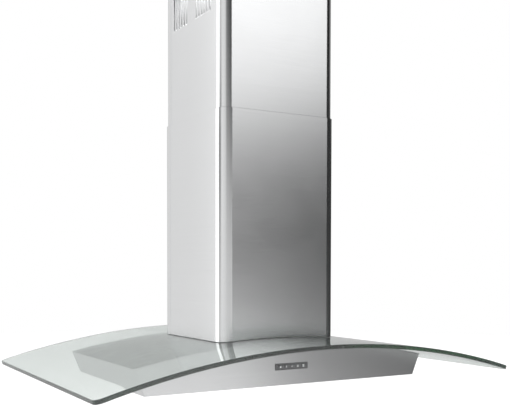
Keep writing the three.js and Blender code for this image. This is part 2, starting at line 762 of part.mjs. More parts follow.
function addImpeller(group) {
  const shaftBore = axleRod(shaftRadius + fitGap, hubBack - 1, hubFront + 1, holeSegments);
  const hub = cut(axleRod(impellerRadius - rimWidth / 2, hubBack, hubFront), shaftBore);
  const rims = sides.map(([, side]) => {
    const ends = [side * impellerHalfWidth, side * (impellerHalfWidth - rimWidth)].sort((a, b) => a - b);
    const bore = axleRod(impellerRadius - bladeChord, ends[0] - 1, ends[1] + 1);
    return cut(axleRod(impellerRadius, ends[0], ends[1]), bore);
  });
  const blades = [];
  for (let i = 0; i < bladeCount; i += 1) {
    const length = 2 * impellerHalfWidth - rimWidth;
    const blade = new THREE.BoxGeometry(length, bladeThickness, bladeChord);
    blade.rotateX(bladeTilt).translate(0, 0, impellerRadius - bladeChord / 2 - rimWidth / 4);
    blade.rotateX((2 * Math.PI * i) / bladeCount);
    blades.push(solid(blade));
  }
  addPart(group, "impeller", greyPlastic, union(hub, ...rims, ...blades));
  const shaftStart = motorFront - motorBoreDepth + fitGap;
  const shaft = axleRod(shaftRadius, shaftStart, hubFront + shaftOverhang, holeSegments);
  addPart(group, "motor_shaft", zincSteel, shaft);
}

function addMotor(group) {
  const bore = axleRod(shaftRadius + fitGap, motorFront - motorBoreDepth, motorFront + 1, holeSegments);
  addPart(group, "blower_motor", zincSteel, cut(axleRod(motorRadius, motorRear, motorFront), bore));

  const outer = -housingHalfWidth - fitGap;
  const inner = outer - bracketThickness;
  const rim = cut(
    axleRod(inletRadius + bracketRim, inner, outer),
    axleRod(inletRadius, inner - 1, outer + 1),
  );
  const arms = [];
  for (let i = 0; i < bracketArms; i += 1) {
    const arm = new THREE.BoxGeometry(bracketThickness, bracketArmWidth, inletRadius + bracketRim / 2);
    arm.translate((inner + outer) / 2, 0, (inletRadius + bracketRim / 2) / 2);
    arm.rotateX((2 * Math.PI * i) / bracketArms);
    arms.push(solid(arm));
  }
  addPart(group, "motor_bracket", zincSteel, union(rim, axleRod(motorRadius / 2, inner, outer), ...arms));
}

function addCollar(group) {
  const inner = collarRadius - collarWall;
  const collar = lathe([
    [inner, 0],
    [collarFlangeRadius, 0],
    [collarFlangeRadius, housingWall],
    [collarRadius, housingWall],
    [collarRadius, collarHeight],
    [inner, collarHeight],
    [inner, 0],
  ], largeRoundSegments);
  const outlet = new THREE.Group();
  outlet.position.z = collarBase;
  addPart(outlet, "outlet_collar", greyPlastic, collar);

  const pinReach = inner - 2 * fitGap;
  const pin = new THREE.CylinderGeometry(damperPinRadius, damperPinRadius, 2 * pinReach, holeSegments);
  pin.rotateZ(Math.PI / 2).translate(0, 0, damperPinRise);
  addPart(outlet, "damper_pin", zincSteel, solid(pin));

  const z0 = damperPinRise - flapThickness / 2;
  const disc = rod(inner - flapClearance, z0, z0 + flapThickness, largeRoundSegments);
  const nearEdge = damperPinRadius + 2 * fitGap;
  const flaps = [["damper_flap_front", -inner, -nearEdge], ["damper_flap_rear", nearEdge, inner]];
  for (const [name, y0, y1] of flaps) {
    addPart(outlet, name, aluminium, disc.intersect(box(-inner, inner, y0, y1, z0 - 1, z0 + collarHeight)));
  }
  group.add(outlet);
}

function addWiring(group) {
  const { x: width, y: depth, z: height } = wiringBoxSize;
  const wiring = new THREE.Group();
  const boxX = lowerPostX - wiringBoxInset - width / 2;
  wiring.position.set(boxX, 0, collarBase + wiringBoxRise);
  addPart(wiring, "wiring_box", greyPlastic, box(-width / 2, width / 2, -depth / 2, depth / 2, 0, height));
  const base = height + fitGap;
  const gland = cut(
    union(
      rod(glandRadius, base, base + glandHeight / 2, 6),
      rod(glandRadius - 2, base + glandHeight / 2 - 1, base + glandHeight, roundSegments),
    ),
    rod(glandBore, base - 1, base + glandHeight + 1, holeSegments),
  );
  addPart(wiring, "cable_gland", darkPlastic, gland);
  const capacitor = rod(capacitorRadius, 0, capacitorHeight, roundSegments, -2 * boxX, 0);
  addPart(wiring, "motor_capacitor", aluminium, capacitor);
  group.add(wiring);
}

// ---------------------------------------------------------------- assembly
const hood = new THREE.Group();
addCeilingPlate(hood);
addUpperPosts(hood);
addUpperTie(hood);
addChimneyBrackets(hood);
addUpperChimney(hood);

const canopy = new THREE.Group();
canopy.position.z = -overallHeight;
addLowerFrame(canopy);
addClampBolts(canopy);
addLowerChimney(canopy);
addGlass(canopy);
addBody(canopy);
addBottomPanel(canopy);
addFilters(canopy);
addLamps(canopy);
addControls(canopy);
addCollar(canopy);
addWiring(canopy);

const blower = new THREE.Group();
blower.position.z = blowerAxisHeight;
addHousing(blower);
addImpeller(blower);
addMotor(blower);
canopy.add(blower);
hood.add(canopy);

export default hood;
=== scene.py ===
"""Looks of an island range hood with a curved glass canopy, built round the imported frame.

Units are metres, +Z is up, -Y is the side with the controls, and the hood hangs below Z = 0.
"""

from __future__ import annotations

import logging
import math
from collections.abc import Callable, Iterable, Sequence
from dataclasses import dataclass, field
from enum import Enum

import bmesh
import bpy
from mathutils import Matrix, Vector

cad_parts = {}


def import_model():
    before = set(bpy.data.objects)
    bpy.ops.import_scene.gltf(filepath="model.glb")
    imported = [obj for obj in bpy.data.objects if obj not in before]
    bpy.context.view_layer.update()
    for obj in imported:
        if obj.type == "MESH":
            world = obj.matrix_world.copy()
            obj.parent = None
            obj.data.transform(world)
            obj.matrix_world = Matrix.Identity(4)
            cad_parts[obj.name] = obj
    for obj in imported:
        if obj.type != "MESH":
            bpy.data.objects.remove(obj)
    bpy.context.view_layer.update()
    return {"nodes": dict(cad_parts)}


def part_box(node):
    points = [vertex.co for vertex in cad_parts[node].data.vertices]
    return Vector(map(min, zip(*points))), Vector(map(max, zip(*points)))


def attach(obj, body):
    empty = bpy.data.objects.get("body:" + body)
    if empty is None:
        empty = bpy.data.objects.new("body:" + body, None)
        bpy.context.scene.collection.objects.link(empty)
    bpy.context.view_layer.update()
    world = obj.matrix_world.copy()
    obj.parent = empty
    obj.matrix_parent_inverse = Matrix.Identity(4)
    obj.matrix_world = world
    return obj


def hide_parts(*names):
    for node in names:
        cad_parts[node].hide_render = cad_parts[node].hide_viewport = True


log = logging.getLogger("range_hood")

BMesh = bmesh.types.BMesh
BMEdge = bmesh.types.BMEdge
Object = bpy.types.Object
Material = bpy.types.Material
Node = bpy.types.Node
Socket = bpy.types.NodeSocket
Color = tuple[float, float, float]
RIM_LAYER = "ground_rim"
MM = 0.001
TOUCH = 0.001 * MM
ARCH_RADIUS = 1.59


class Axis(Enum):
    """An axis of the hood's frame."""

    X = 0
    Y = 1
    Z = 2


class Slot(Enum):
    """The record's material slots."""

    STEEL = "brushed_steel"
    ZINC = "zinc_steel"
    MOTOR = "motor_steel"
    GLASS = "canopy_glass"
    LENS = "lamp_glass"
    FILTER = "filter_aluminium"
    RUBBER = "black_rubber"
    DARK = "dark_plastic"
    GREY = "grey_plastic"
    KEY = "key_plastic"
    BOARD = "board_green"


FINISH_SLOTS = {
    "wall_steel": Slot.STEEL,
    "plate_steel": Slot.STEEL,
    "chrome": Slot.STEEL,
    "zinc": Slot.ZINC,
    "motor": Slot.MOTOR,
    "aluminium": Slot.FILTER,
    "canopy_glass": Slot.GLASS,
    "lens_glass": Slot.LENS,
    "lamp": Slot.LENS,
    "rubber": Slot.RUBBER,
    "silicone": Slot.RUBBER,
    "dark": Slot.DARK,
    "grey": Slot.GREY,
    "key": Slot.KEY,
    "mark": Slot.KEY,
    "board": Slot.BOARD,
}


# ---------------------------------------------------------------- shader building
class NodeBuilder:
    """Adds and links the nodes of one material, world or node group."""

    def __init__(self, tree: bpy.types.NodeTree) -> None:
        """Keeps the tree that the nodes go into.

        Args:
            tree: the node tree to fill.
        """
        self.tree = tree

    def add(self, kind: str, inputs: dict | None = None, **settings: object) -> Node:
        """Adds one node.

        Args:
            kind: the node's type name, without the leading "ShaderNode".
            inputs: values or output sockets for its inputs, by name or index.
            settings: properties to set on the node.

        Returns:
            The new node.
        """
        node = self.tree.nodes.new("ShaderNode" + kind)
        for key, value in settings.items():
            setattr(node, key, value)
        self.feed(node, inputs or {})
        return node

    def feed(self, node: Node, inputs: dict) -> None:
        """Links or sets a node's inputs.

        Args:
            node: the node to feed.
            inputs: values or output sockets for its inputs, by name or index.
        """
        for key, value in inputs.items():
            if isinstance(value, Socket):
                self.tree.links.new(value, node.inputs[key])
            else:
                node.inputs[key].default_value = value

    def place(self) -> Socket:
        """Returns the point that is shaded, in metres of the object's own frame."""
        return self.add("TexCoord").outputs["Object"]

    def math(self, operation: str, *values: object) -> Socket:
        """Adds a Math node and returns its output.

        Args:
            operation: the node's operation, such as MULTIPLY.
            values: numbers or sockets for its inputs in order.

        Returns:
            The output socket.
        """
        return self.add("Math", dict(enumerate(values)), operation=operation).outputs[0]

    def ramp(self, value: Socket, stops: Sequence[tuple[float, float]]) -> Socket:
        """Turns a value into a grey by straight lines between stops.

        Args:
            value: the socket to read.
            stops: pairs of place, from 0 to 1, and grey.

        Returns:
            The grey as a colour socket.
        """
        node = self.add("ValToRGB", {"Fac": value})
        elements = node.color_ramp.elements
        while len(elements) < len(stops):
            elements.new(0.5)
        for element, (place, grey) in zip(elements, stops):
            element.position = place
            element.color = (grey, grey, grey, 1)
        return node.outputs["Color"]

    def blend(self, factor: object, low: object, high: object) -> Socket:
        """Mixes two colours.

        Args:
            factor: socket or number, 0 for low and 1 for high.
            low: socket or colour.
            high: socket or colour.

        Returns:
            The mixed colour's socket.
        """
        ends = [c if isinstance(c, Socket) else (*c, 1) for c in (low, high)]
        inputs = {0: factor, 6: ends[0], 7: ends[1]}
        return self.add("Mix", inputs, data_type="RGBA", clamp_factor=True).outputs[2]


class EffectGroup:
    """A node group shared by several finishes, built the first time it is asked for."""

    name = ""
    inputs: tuple[tuple[str, str, object], ...] = ()
    outputs: tuple[str, ...] = ()

    @classmethod
    def tree(cls) -> bpy.types.NodeTree:
        """Returns the group's node tree, made once."""
        known = bpy.data.node_groups.get(cls.name)
        return known or cls._make()

    @classmethod
    def _make(cls) -> bpy.types.NodeTree:
        """Makes the group's sockets and fills it."""
        tree = bpy.data.node_groups.new(cls.name, "ShaderNodeTree")
        for name, kind, value in cls.inputs:
            socket = tree.interface.new_socket(name, in_out="INPUT", socket_type=kind)
            socket.default_value = value
        for name in cls.outputs:
            tree.interface.new_socket(name, in_out="OUTPUT", socket_type="NodeSocketFloat")
        nodes = NodeBuilder(tree)
        entry = tree.nodes.new("NodeGroupInput")
        result = cls.fill(nodes, entry)
        out = tree.nodes.new("NodeGroupOutput")
        for name, socket in zip(cls.outputs, result):
            tree.links.new(socket, out.inputs[name])
        return tree

    @classmethod
    def fill(cls, nodes: NodeBuilder, entry: Node) -> tuple[Socket, ...]:
        """Adds the group's nodes and returns the sockets of its outputs."""
        raise NotImplementedError

    @classmethod
    def place(cls, nodes: NodeBuilder, **values: object) -> Node:
        """Puts the group into a material.

        Args:
            nodes: the builder of the material.
            values: numbers, vectors or sockets for the group's inputs.

        Returns:
            The group node.
        """
        inputs = {name.title(): value for name, value in values.items()}
        return nodes.add("Group", inputs, node_tree=cls.tree())


class BrushedGrain(EffectGroup):
    """Long fine scratches that run along the axes with a small scale."""

    name = "brushed_grain"
    inputs = (("Scale", "NodeSocketVector", (1, 1, 1)),)
    outputs = ("Grain", "Streaks")

    @classmethod
    def fill(cls, nodes: NodeBuilder, entry: Node) -> tuple[Socket, ...]:
        """Adds a fine and a coarse stretched noise."""
        place = nodes.place()
        stretched = nodes.add("VectorMath", {0: place, 1: entry.outputs["Scale"]}, operation="MULTIPLY")
        fine = nodes.add("TexNoise", {"Vector": stretched.outputs[0], "Scale": 9.0, "Detail": 4.0})
        wide = nodes.add("TexNoise", {"Vector": stretched.outputs[0], "Scale": 1.1, "Detail": 3.0})
        return fine.outputs[0], wide.outputs[0]


class HandlingMarks(EffectGroup):
    """Soft wiped smears and fine dust, from 0 where clean to 1."""

    name = "handling_marks"
    inputs = (("Size", "NodeSocketFloat", 1.0),)
    outputs = ("Smears", "Dust")

    @classmethod
    def fill(cls, nodes: NodeBuilder, entry: Node) -> tuple[Socket, ...]:
        """Adds a large distorted noise for the smears and a small one for the dust."""
        place = nodes.place()
        size = entry.outputs["Size"]
        scale = nodes.math("DIVIDE", 6.0, size)
        smear = nodes.add("TexNoise", {"Vector": place, "Scale": scale, "Detail": 5.0, "Distortion": 1.2})
        fine = nodes.math("DIVIDE", 420.0, size)
        speck = nodes.add("TexNoise", {"Vector": place, "Scale": fine, "Detail": 2.0})
        smears = nodes.ramp(smear.outputs[0], ((0.42, 0.0), (0.72, 1.0)))
        dust = nodes.ramp(speck.outputs[0], ((0.5, 0.0), (0.7, 1.0)))
        return smears, dust


class EdgeWear(EffectGroup):
    """Rubbed outer edges, from 0 on flat faces to 1 on a worn edge."""

    name = "edge_wear"
    inputs = (("Start", "NodeSocketFloat", 0.52), ("End", "NodeSocketFloat", 0.6))
    outputs = ("Wear",)

    @classmethod
    def fill(cls, nodes: NodeBuilder, entry: Node) -> tuple[Socket, ...]:
        """Adds a mask of the convex edges, broken up by a noise."""
        convex = nodes.add("NewGeometry").outputs["Pointiness"]
        ends = {"From Min": entry.outputs["Start"], "From Max": entry.outputs["End"]}
        mask = nodes.add("MapRange", {"Value": convex, **ends})
        patches = nodes.add("TexNoise", {"Vector": nodes.place(), "Scale": 160.0, "Detail": 3.0})
        return (nodes.math("MULTIPLY", mask.outputs[0], patches.outputs[0]),)


# ---------------------------------------------------------------- finishes
def start_material(name: str) -> tuple[Material, NodeBuilder, Node]:
    """Makes a material with an empty Principled BSDF.

    Args:
        name: the material's name.

    Returns:
        The material, its node builder and the Principled BSDF node.
    """
    material = bpy.data.materials.new(name)
    material.use_nodes = True
    shader = material.node_tree.nodes["Principled BSDF"]
    return material, NodeBuilder(material.node_tree), shader


def shade(color: Color, factor: float) -> Color:
    """Returns a colour made lighter or darker by a factor."""
    return tuple(min(1.0, channel * factor) for channel in color)


@dataclass(frozen=True)
class BrushedSteel:
    """Stainless sheet with a brushed grain along one direction.

    Attributes:
        name: the material's name.
        across: the axis that the scratches lie across.
        tint: colour of the metal.
        roughness: of the sheet between its scratches.
        anisotropy: how far the reflections are drawn out across the grain.
        turned: the grain runs round the vertical axis, so the reflections stretch along Z.
    """

    name: str
    across: Axis = Axis.Z
    tint: Color = (0.74, 0.745, 0.75)
    roughness: float = 0.17
    anisotropy: float = 0.82
    turned: bool = True

    def build(self) -> Material:
        """Builds the material."""
        material, nodes, shader = start_material(self.name)
        scale = [4.0] * 3
        scale[self.across.value] = 420.0
        grain = BrushedGrain.place(nodes, scale=scale)
        marks = HandlingMarks.place(nodes, size=1.0)
        streaks = nodes.ramp(grain.outputs["Streaks"], ((0.25, 0.0), (0.75, 1.0)))
        color = nodes.blend(streaks, shade(self.tint, 0.985), shade(self.tint, 1.012))
        rough = nodes.math("MULTIPLY_ADD", grain.outputs["Grain"], 0.08, self.roughness - 0.04)
        rough = nodes.math("MULTIPLY_ADD", marks.outputs["Smears"], 0.012, rough)
        bump = nodes.add("Bump", {"Height": grain.outputs["Grain"], "Strength": 0.03, "Distance": 0.00004})
        nodes.feed(shader, {"Base Color": color, "Roughness": rough, "Normal": bump.outputs[0]})
        shader.inputs["Metallic"].default_value = 1.0
        if self.turned:
            tangent = nodes.add("Tangent", direction_type="RADIAL", axis="Z")
            nodes.feed(shader, {"Tangent": tangent.outputs[0]})
            shader.inputs["Anisotropic"].default_value = self.anisotropy
            shader.inputs["Anisotropic Rotation"].default_value = 0.25
        return material


@dataclass(frozen=True)
class PlainMetal:
    """Zinc-plated, rolled or pressed metal with a mottled surface.

    Attributes:
        name: the material's name.
        tint: colour of the metal.
        roughness: of its clean surface.
        spangle: size of the crystals or mottles in metres.
        contrast: of the mottles' colour.
        dust: how far dust dulls it.
    """

    name: str
    tint: Color = (0.56, 0.57, 0.58)
    roughness: float = 0.38
    spangle: float = 0.006
    contrast: float = 0.16
    dust: float = 0.12

    def build(self) -> Material:
        """Builds the material."""
        material, nodes, shader = start_material(self.name)
        place = nodes.place()
        cells = nodes.add("TexVoronoi", {"Vector": place, "Scale": 1 / self.spangle})
        mottle = nodes.add("SeparateColor", {0: cells.outputs["Color"]}).outputs[0]
        wear = EdgeWear.place(nodes)
        marks = HandlingMarks.place(nodes, size=0.7)
        color = nodes.blend(mottle, shade(self.tint, 1 - self.contrast), shade(self.tint, 1 + self.contrast))
        color = nodes.blend(wear.outputs["Wear"], color, shade(self.tint, 1.35))
        rough = nodes.math("MULTIPLY_ADD", mottle, 0.1, self.roughness)
        rough = nodes.math("MULTIPLY_ADD", marks.outputs["Dust"], self.dust, rough)
        height = nodes.math("ADD", mottle, marks.outputs["Smears"])
        bump = nodes.add("Bump", {"Height": height, "Strength": 0.12, "Distance": 0.00008})
        nodes.feed(shader, {"Base Color": color, "Roughness": rough, "Normal": bump.outputs[0]})
        shader.inputs["Metallic"].default_value = 1.0
        return material


@dataclass(frozen=True)
class Moulding:
    """Moulded plastic or rubber with a fine cast texture.

    Attributes:
        name: the material's name.
        tint: its colour.
        roughness: of its clean surface.
        texture: size of the mould's grain in metres.
        relief: depth of that grain in metres.
        sheen: weight of the soft sheen of rubber.
    """

    name: str
    tint: Color
    roughness: float = 0.45
    texture: float = 0.0006
    relief: float = 0.00003
    sheen: float = 0.0

    def build(self) -> Material:
        """Builds the material."""
        material, nodes, shader = start_material(self.name)
        place = nodes.place()
        grain = nodes.add("TexNoise", {"Vector": place, "Scale": 0.4 / self.texture, "Detail": 3.0})
        cloud = nodes.add("TexNoise", {"Vector": place, "Scale": 14.0, "Detail": 3.0})
        wear = EdgeWear.place(nodes)
        marks = HandlingMarks.place(nodes, size=0.5)
        color = nodes.blend(cloud.outputs[0], shade(self.tint, 0.86), shade(self.tint, 1.14))
        color = nodes.blend(wear.outputs["Wear"], color, shade(self.tint, 1.7))
        rough = nodes.math("MULTIPLY_ADD", grain.outputs[0], 0.14, self.roughness - 0.07)
        rough = nodes.math("MULTIPLY_ADD", marks.outputs["Dust"], 0.06, rough)
        bump = nodes.add("Bump", {"Height": grain.outputs[0], "Strength": 0.35, "Distance": self.relief})
        nodes.feed(shader, {"Base Color": color, "Roughness": rough, "Normal": bump.outputs[0]})
        shader.inputs["Sheen Weight"].default_value = self.sheen
        return material


@dataclass(frozen=True)
class TintedGlass:
    """Clear tempered glass that darkens to green where light runs a long way through it.

    Attributes:
        name: the material's name.
        surface: tint of each surface.
        absorption: colour that a long path keeps, or None for a clear piece.
        density: of the absorption, per metre.
        roughness: of the surfaces.
        ground: how much rougher the ground rims are, where the mesh marks them.
        haze: share of the light that scatters in the surfaces.
        ripple: depth of the fine waviness in metres.
    """

    name: str
    surface: Color = (0.95, 0.945, 0.945)
    absorption: Color | None = (0.2, 0.62, 0.45)
    density: float = 14.0
    roughness: float = 0.0
    ground: float = 0.0
    haze: float = 0.0
    ripple: float = 0.0

    def build(self) -> Material:
        """Builds the material."""
        material, nodes, shader = start_material(self.name)
        marks = HandlingMarks.place(nodes, size=1.4)
        wiped = nodes.math("MULTIPLY_ADD", marks.outputs["Smears"], 0.02, self.roughness)
        if self.ground:
            rim = nodes.add("Attribute", attribute_name=RIM_LAYER).outputs["Fac"]
            wiped = nodes.math("MULTIPLY_ADD", rim, self.ground, wiped)
        color = nodes.blend(marks.outputs["Smears"], self.surface, shade(self.surface, 0.985))
        nodes.feed(shader, {"Base Color": color, "Roughness": wiped})
        shader.inputs["Metallic"].default_value = 0.0
        shader.inputs["Transmission Weight"].default_value = 1 - self.haze
        shader.inputs["IOR"].default_value = 1.52
        if self.ripple:
            wave = nodes.add("TexNoise", {"Vector": nodes.place(), "Scale": 120.0, "Detail": 1.0})
            bump = nodes.add("Bump", {"Height": wave.outputs[0], "Strength": 0.5, "Distance": self.ripple})
            nodes.feed(shader, {"Normal": bump.outputs[0]})
        if self.absorption:
            keeps = {"Color": (*self.absorption, 1), "Density": self.density}
            volume = nodes.add("VolumeAbsorption", keeps).outputs[0]
            nodes.feed(material.node_tree.nodes["Material Output"], {"Volume": volume})
        return material


@dataclass(frozen=True)
class Finishes:
    """Every finish on the hood, each made once."""

    wall_steel: BrushedSteel = BrushedSteel("wall_steel")
    plate_steel: BrushedSteel = BrushedSteel("plate_steel", Axis.Y, (0.6, 0.605, 0.61), 0.27, turned=False)
    zinc: PlainMetal = PlainMetal("zinc_plate")
    motor: PlainMetal = PlainMetal("motor_can", tint=(0.42, 0.43, 0.45), roughness=0.42, spangle=0.002)
    aluminium: PlainMetal = PlainMetal("rolled_aluminium", tint=(0.66, 0.67, 0.68), spangle=0.0012,
                                       contrast=0.06)
    chrome: PlainMetal = PlainMetal("bright_trim", tint=(0.78, 0.79, 0.8), roughness=0.16, spangle=0.004,
                                    contrast=0.03, dust=0.04)
    canopy_glass: TintedGlass = TintedGlass("canopy_glass", ground=0.12, haze=0.05)
    lens_glass: TintedGlass = TintedGlass("frosted_lens", surface=(0.96, 0.965, 0.96), absorption=None,
                                          roughness=0.22, ripple=0.0002)
    rubber: Moulding = Moulding("black_rubber", tint=(0.016, 0.017, 0.018), roughness=0.7, sheen=0.2)
    silicone: Moulding = Moulding("grey_silicone", tint=(0.4, 0.405, 0.405), roughness=0.5, sheen=0.2)
    dark: Moulding = Moulding("dark_plastic", tint=(0.125, 0.125, 0.128), roughness=0.42)
    grey: Moulding = Moulding("grey_plastic", tint=(0.17, 0.175, 0.18), roughness=0.55, texture=0.0012)
    key: Moulding = Moulding("key_plastic", tint=(0.15, 0.15, 0.154), roughness=0.38)
    mark: Moulding = Moulding("printed_mark", tint=(0.78, 0.79, 0.8), roughness=0.5)
    board: Moulding = Moulding("circuit_board", tint=(0.02, 0.11, 0.045), roughness=0.4)
    lamp: Moulding = Moulding("lamp_diode", tint=(0.85, 0.8, 0.55), roughness=0.3)

    def make(self) -> dict[str, Material]:
        """Builds every material and returns them by the names of the fields."""
        return {name: getattr(self, name).build() for name in self.__dataclass_fields__}


# ---------------------------------------------------------------- mesh building
def block(low: Vector, high: Vector) -> BMesh:
    """Makes a box between two corners.

    Args:
        low: its lowest corner.
        high: its highest corner.

    Returns:
        A bmesh that holds the box.
    """
    mesh = bmesh.new()
    place = Matrix.Translation((low + high) / 2) @ Matrix.Diagonal(high - low).to_4x4()
    bmesh.ops.create_cube(mesh, size=1, matrix=place)
    return mesh


def edges_along(mesh: BMesh, axis: Axis = Axis.Z, lean: float = 0.9) -> list[BMEdge]:
    """Returns the edges that run nearly along an axis."""
    return [e for e in mesh.edges if abs((e.verts[1].co - e.verts[0].co).normalized()[axis.value]) > lean]


def edges_at(mesh: BMesh, place: float, axis: Axis = Axis.Z) -> list[BMEdge]:
    """Returns the edges that lie at one place on an axis."""
    return [e for e in mesh.edges if all(abs(v.co[axis.value] - place) < TOUCH for v in e.verts)]


def corner_edges(mesh: BMesh, height: float) -> list[BMEdge]:
    """Returns the edges at a height where an upright face meets a level one."""
    return [e for e in edges_at(mesh, height) if e.calc_face_angle(0) > 1]


def sharp_edges(mesh: BMesh, angle: float) -> list[BMEdge]:
    """Returns the edges whose two faces meet at more than an angle in radians."""
    return [e for e in mesh.edges if e.calc_face_angle(0) > angle]


def open_ends(mesh: BMesh, both: bool = True) -> None:
    """Takes away the level faces of a block, or only the upper one."""
    ends = [f for f in mesh.faces if f.normal.z > 0.9 or (both and f.normal.z < -0.9)]
    bmesh.ops.delete(mesh, geom=ends, context="FACES_ONLY")


def round_off(mesh: BMesh, edges: Iterable[BMEdge], radius: float, segments: int) -> None:
    """Rounds edges.

    Args:
        mesh: the bmesh to change.
        edges: the edges to round.
        radius: of the rounding.
        segments: how many facets it has.
    """
    bmesh.ops.bevel(mesh, geom=list(edges), offset=radius, segments=segments, profile=0.5,
                    affect="EDGES", material=-1, clamp_overlap=True)


def cut_at(mesh: BMesh, at: Vector, normal: Vector, **options: object) -> None:
    """Cuts a mesh along a plane.

    Args:
        mesh: the bmesh to change.
        at: a point on the plane.
        normal: of the plane.
        options: what to clear away, and how near a vertex counts as on the plane.
    """
    everything = list(mesh.verts) + list(mesh.edges) + list(mesh.faces)
    bmesh.ops.bisect_plane(mesh, geom=everything, plane_co=at, plane_no=normal, **options)


def slice_along(mesh: BMesh, axis: Axis, low: float, high: float, step: float) -> None:
    """Cuts a mesh into strips so that it can bend.

    Args:
        mesh: the bmesh to change.
        axis: the direction that the cuts follow each other along.
        low: where the strips start.
        high: where they end.
        step: widest strip.
    """
    count = math.ceil((high - low) / step)
    normal = Vector([float(i == axis.value) for i in range(3)])
    for i in range(1, count):
        cut_at(mesh, normal * (low + (high - low) * i / count), normal, dist=1e-7)


def turned(profile: Sequence[tuple[float, float]], steps: int, at: Vector | None = None) -> BMesh:
    """Turns a profile about the Z axis.

    Args:
        profile: points of radius and height. It starts and ends on the axis, or closes on itself.
        steps: how many facets the turn has.
        at: where the axis stands.

    Returns:
        A closed bmesh.
    """
    mesh = bmesh.new()
    rim = [mesh.verts.new((radius, 0, height)) for radius, height in profile]
    edges = [mesh.edges.new(pair) for pair in zip(rim, rim[1:])]
    bmesh.ops.spin(mesh, geom=rim + edges, axis=(0, 0, 1), cent=(0, 0, 0), angle=math.tau, steps=steps,
                   use_merge=True)
    bmesh.ops.remove_doubles(mesh, verts=mesh.verts, dist=1e-6)
    bmesh.ops.recalc_face_normals(mesh, faces=mesh.faces)
    if at is not None:
        bmesh.ops.translate(mesh, verts=mesh.verts, vec=at)
    return mesh


def joined(parts: Iterable[BMesh]) -> BMesh:
    """Puts several meshes into one.

    Args:
        parts: the meshes, which are freed.

    Returns:
        One bmesh with all of them.
    """
    whole = bmesh.new()
    for part in parts:
        carrier = bpy.data.meshes.new("part")
        part.to_mesh(carrier)
        part.free()
        whole.from_mesh(carrier)
        bpy.data.meshes.remove(carrier)
    return whole


def link_object(name: str, data: bpy.types.ID) -> Object:
    """Puts a mesh, a light or a camera into the scene as an object."""
    made = bpy.data.objects.new(name, data)
    bpy.context.scene.collection.objects.link(made)
    return made


def as_object(name: str, mesh: BMesh) -> Object:
    """Turns a bmesh into an object at the origin.

    Args:
        name: the object's name.
        mesh: the bmesh, which is freed.

    Returns:
        The linked object.
    """
    data = bpy.data.meshes.new(name)
    mesh.to_mesh(data)
    mesh.free()
    return link_object(name, data)


def settle(made: Object) -> None:
    """Applies an object's modifiers to its mesh."""
    bpy.context.view_layer.update()
    graph = bpy.context.evaluated_depsgraph_get()
    old = made.data
    made.data = bpy.data.meshes.new_from_object(made.evaluated_get(graph))
    made.modifiers.clear()
    bpy.data.meshes.remove(old)
    made.data.name = made.name


def combine(made: Object, shape: BMesh, operation: str) -> None:
    """Adds a closed shape to a piece or takes it away.

    Args:
        made: the piece to change.
        shape: the closed shape, which is freed.
        operation: UNION or DIFFERENCE.
    """
    tool = as_object("tool", shape)
    modifier = made.modifiers.new("combine", "BOOLEAN")
    modifier.operation = operation
    modifier.solver = "EXACT"
    modifier.object = tool
    settle(made)
    bpy.data.objects.remove(tool)


def carve(made: Object, cutter: BMesh) -> None:
    """Cuts a closed shape, which is freed, out of a piece."""
    combine(made, cutter, "DIFFERENCE")


def thicken(made: Object, wall: float) -> None:
    """Gives an open sheet a wall that grows inwards."""
    modifier = made.modifiers.new("wall", "SOLIDIFY")
    modifier.thickness = wall
    modifier.offset = -1
    modifier.use_even_offset = True
    settle(made)


def edit(made: Object, change: Callable[[BMesh], None]) -> None:
    """Changes an object's mesh with bmesh operators.

    Args:
        made: the object to change.
        change: what to do with its bmesh.
    """
    mesh = bmesh.new()
    mesh.from_mesh(made.data)
    change(mesh)
    mesh.to_mesh(made.data)
    mesh.free()


def mark_rims(made: Object, lean: float = 0.5) -> None:
    """Marks the faces of a sheet that stand upright, for the materials that look for them.

    Args:
        made: the sheet.
        lean: largest upward part of the normal that still counts as upright.
    """
    layer = made.data.attributes.new(RIM_LAYER, "FLOAT", "FACE")
    for polygon in made.data.polygons:
        layer.data[polygon.index].value = float(abs(polygon.normal.z) < lean)


def smooth(made: Object, angle: float = 32.0) -> None:
    """Shades an object smooth but keeps its wide faces flat.

    Args:
        made: the finished object.
        angle: of the edges that stay sharp, in degrees.
    """
    made.data.shade_smooth()
    made.data.set_sharp_from_angle(angle=math.radians(angle))
    modifier = made.modifiers.new("flat_faces", "WEIGHTED_NORMAL")
    modifier.keep_sharp = True
    settle(made)


@dataclass(frozen=True)
class Dressing:
    """What turns a mesh into a piece of the hood.

    Attributes:
        body: the body that the piece moves with.
        material: its finish.
        slot: the record's slot for that finish.
        replaces: the frame's nodes that it stands for.
    """

    body: str
    material: Material
    # slot: the record's slot for that finish; not used.
    slot: Slot
    replaces: tuple[str, ...] = ()

    def put_on(self, made: Object, angle: float = 32.0) -> Object:
        """Dresses a finished mesh and fixes it to its body.

        Args:
            made: the object, with its place in its mesh.
            angle: of the edges that stay sharp, in degrees.

        Returns:
            The same object.
        """
        smooth(made, angle)
        made.data.materials.clear()
        made.data.materials.append(self.material)
        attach(made, self.body)
        if self.replaces:
            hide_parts(*self.replaces)
        log.info("%s: %d faces on %s", made.name, len(made.data.polygons), self.body)
        return made


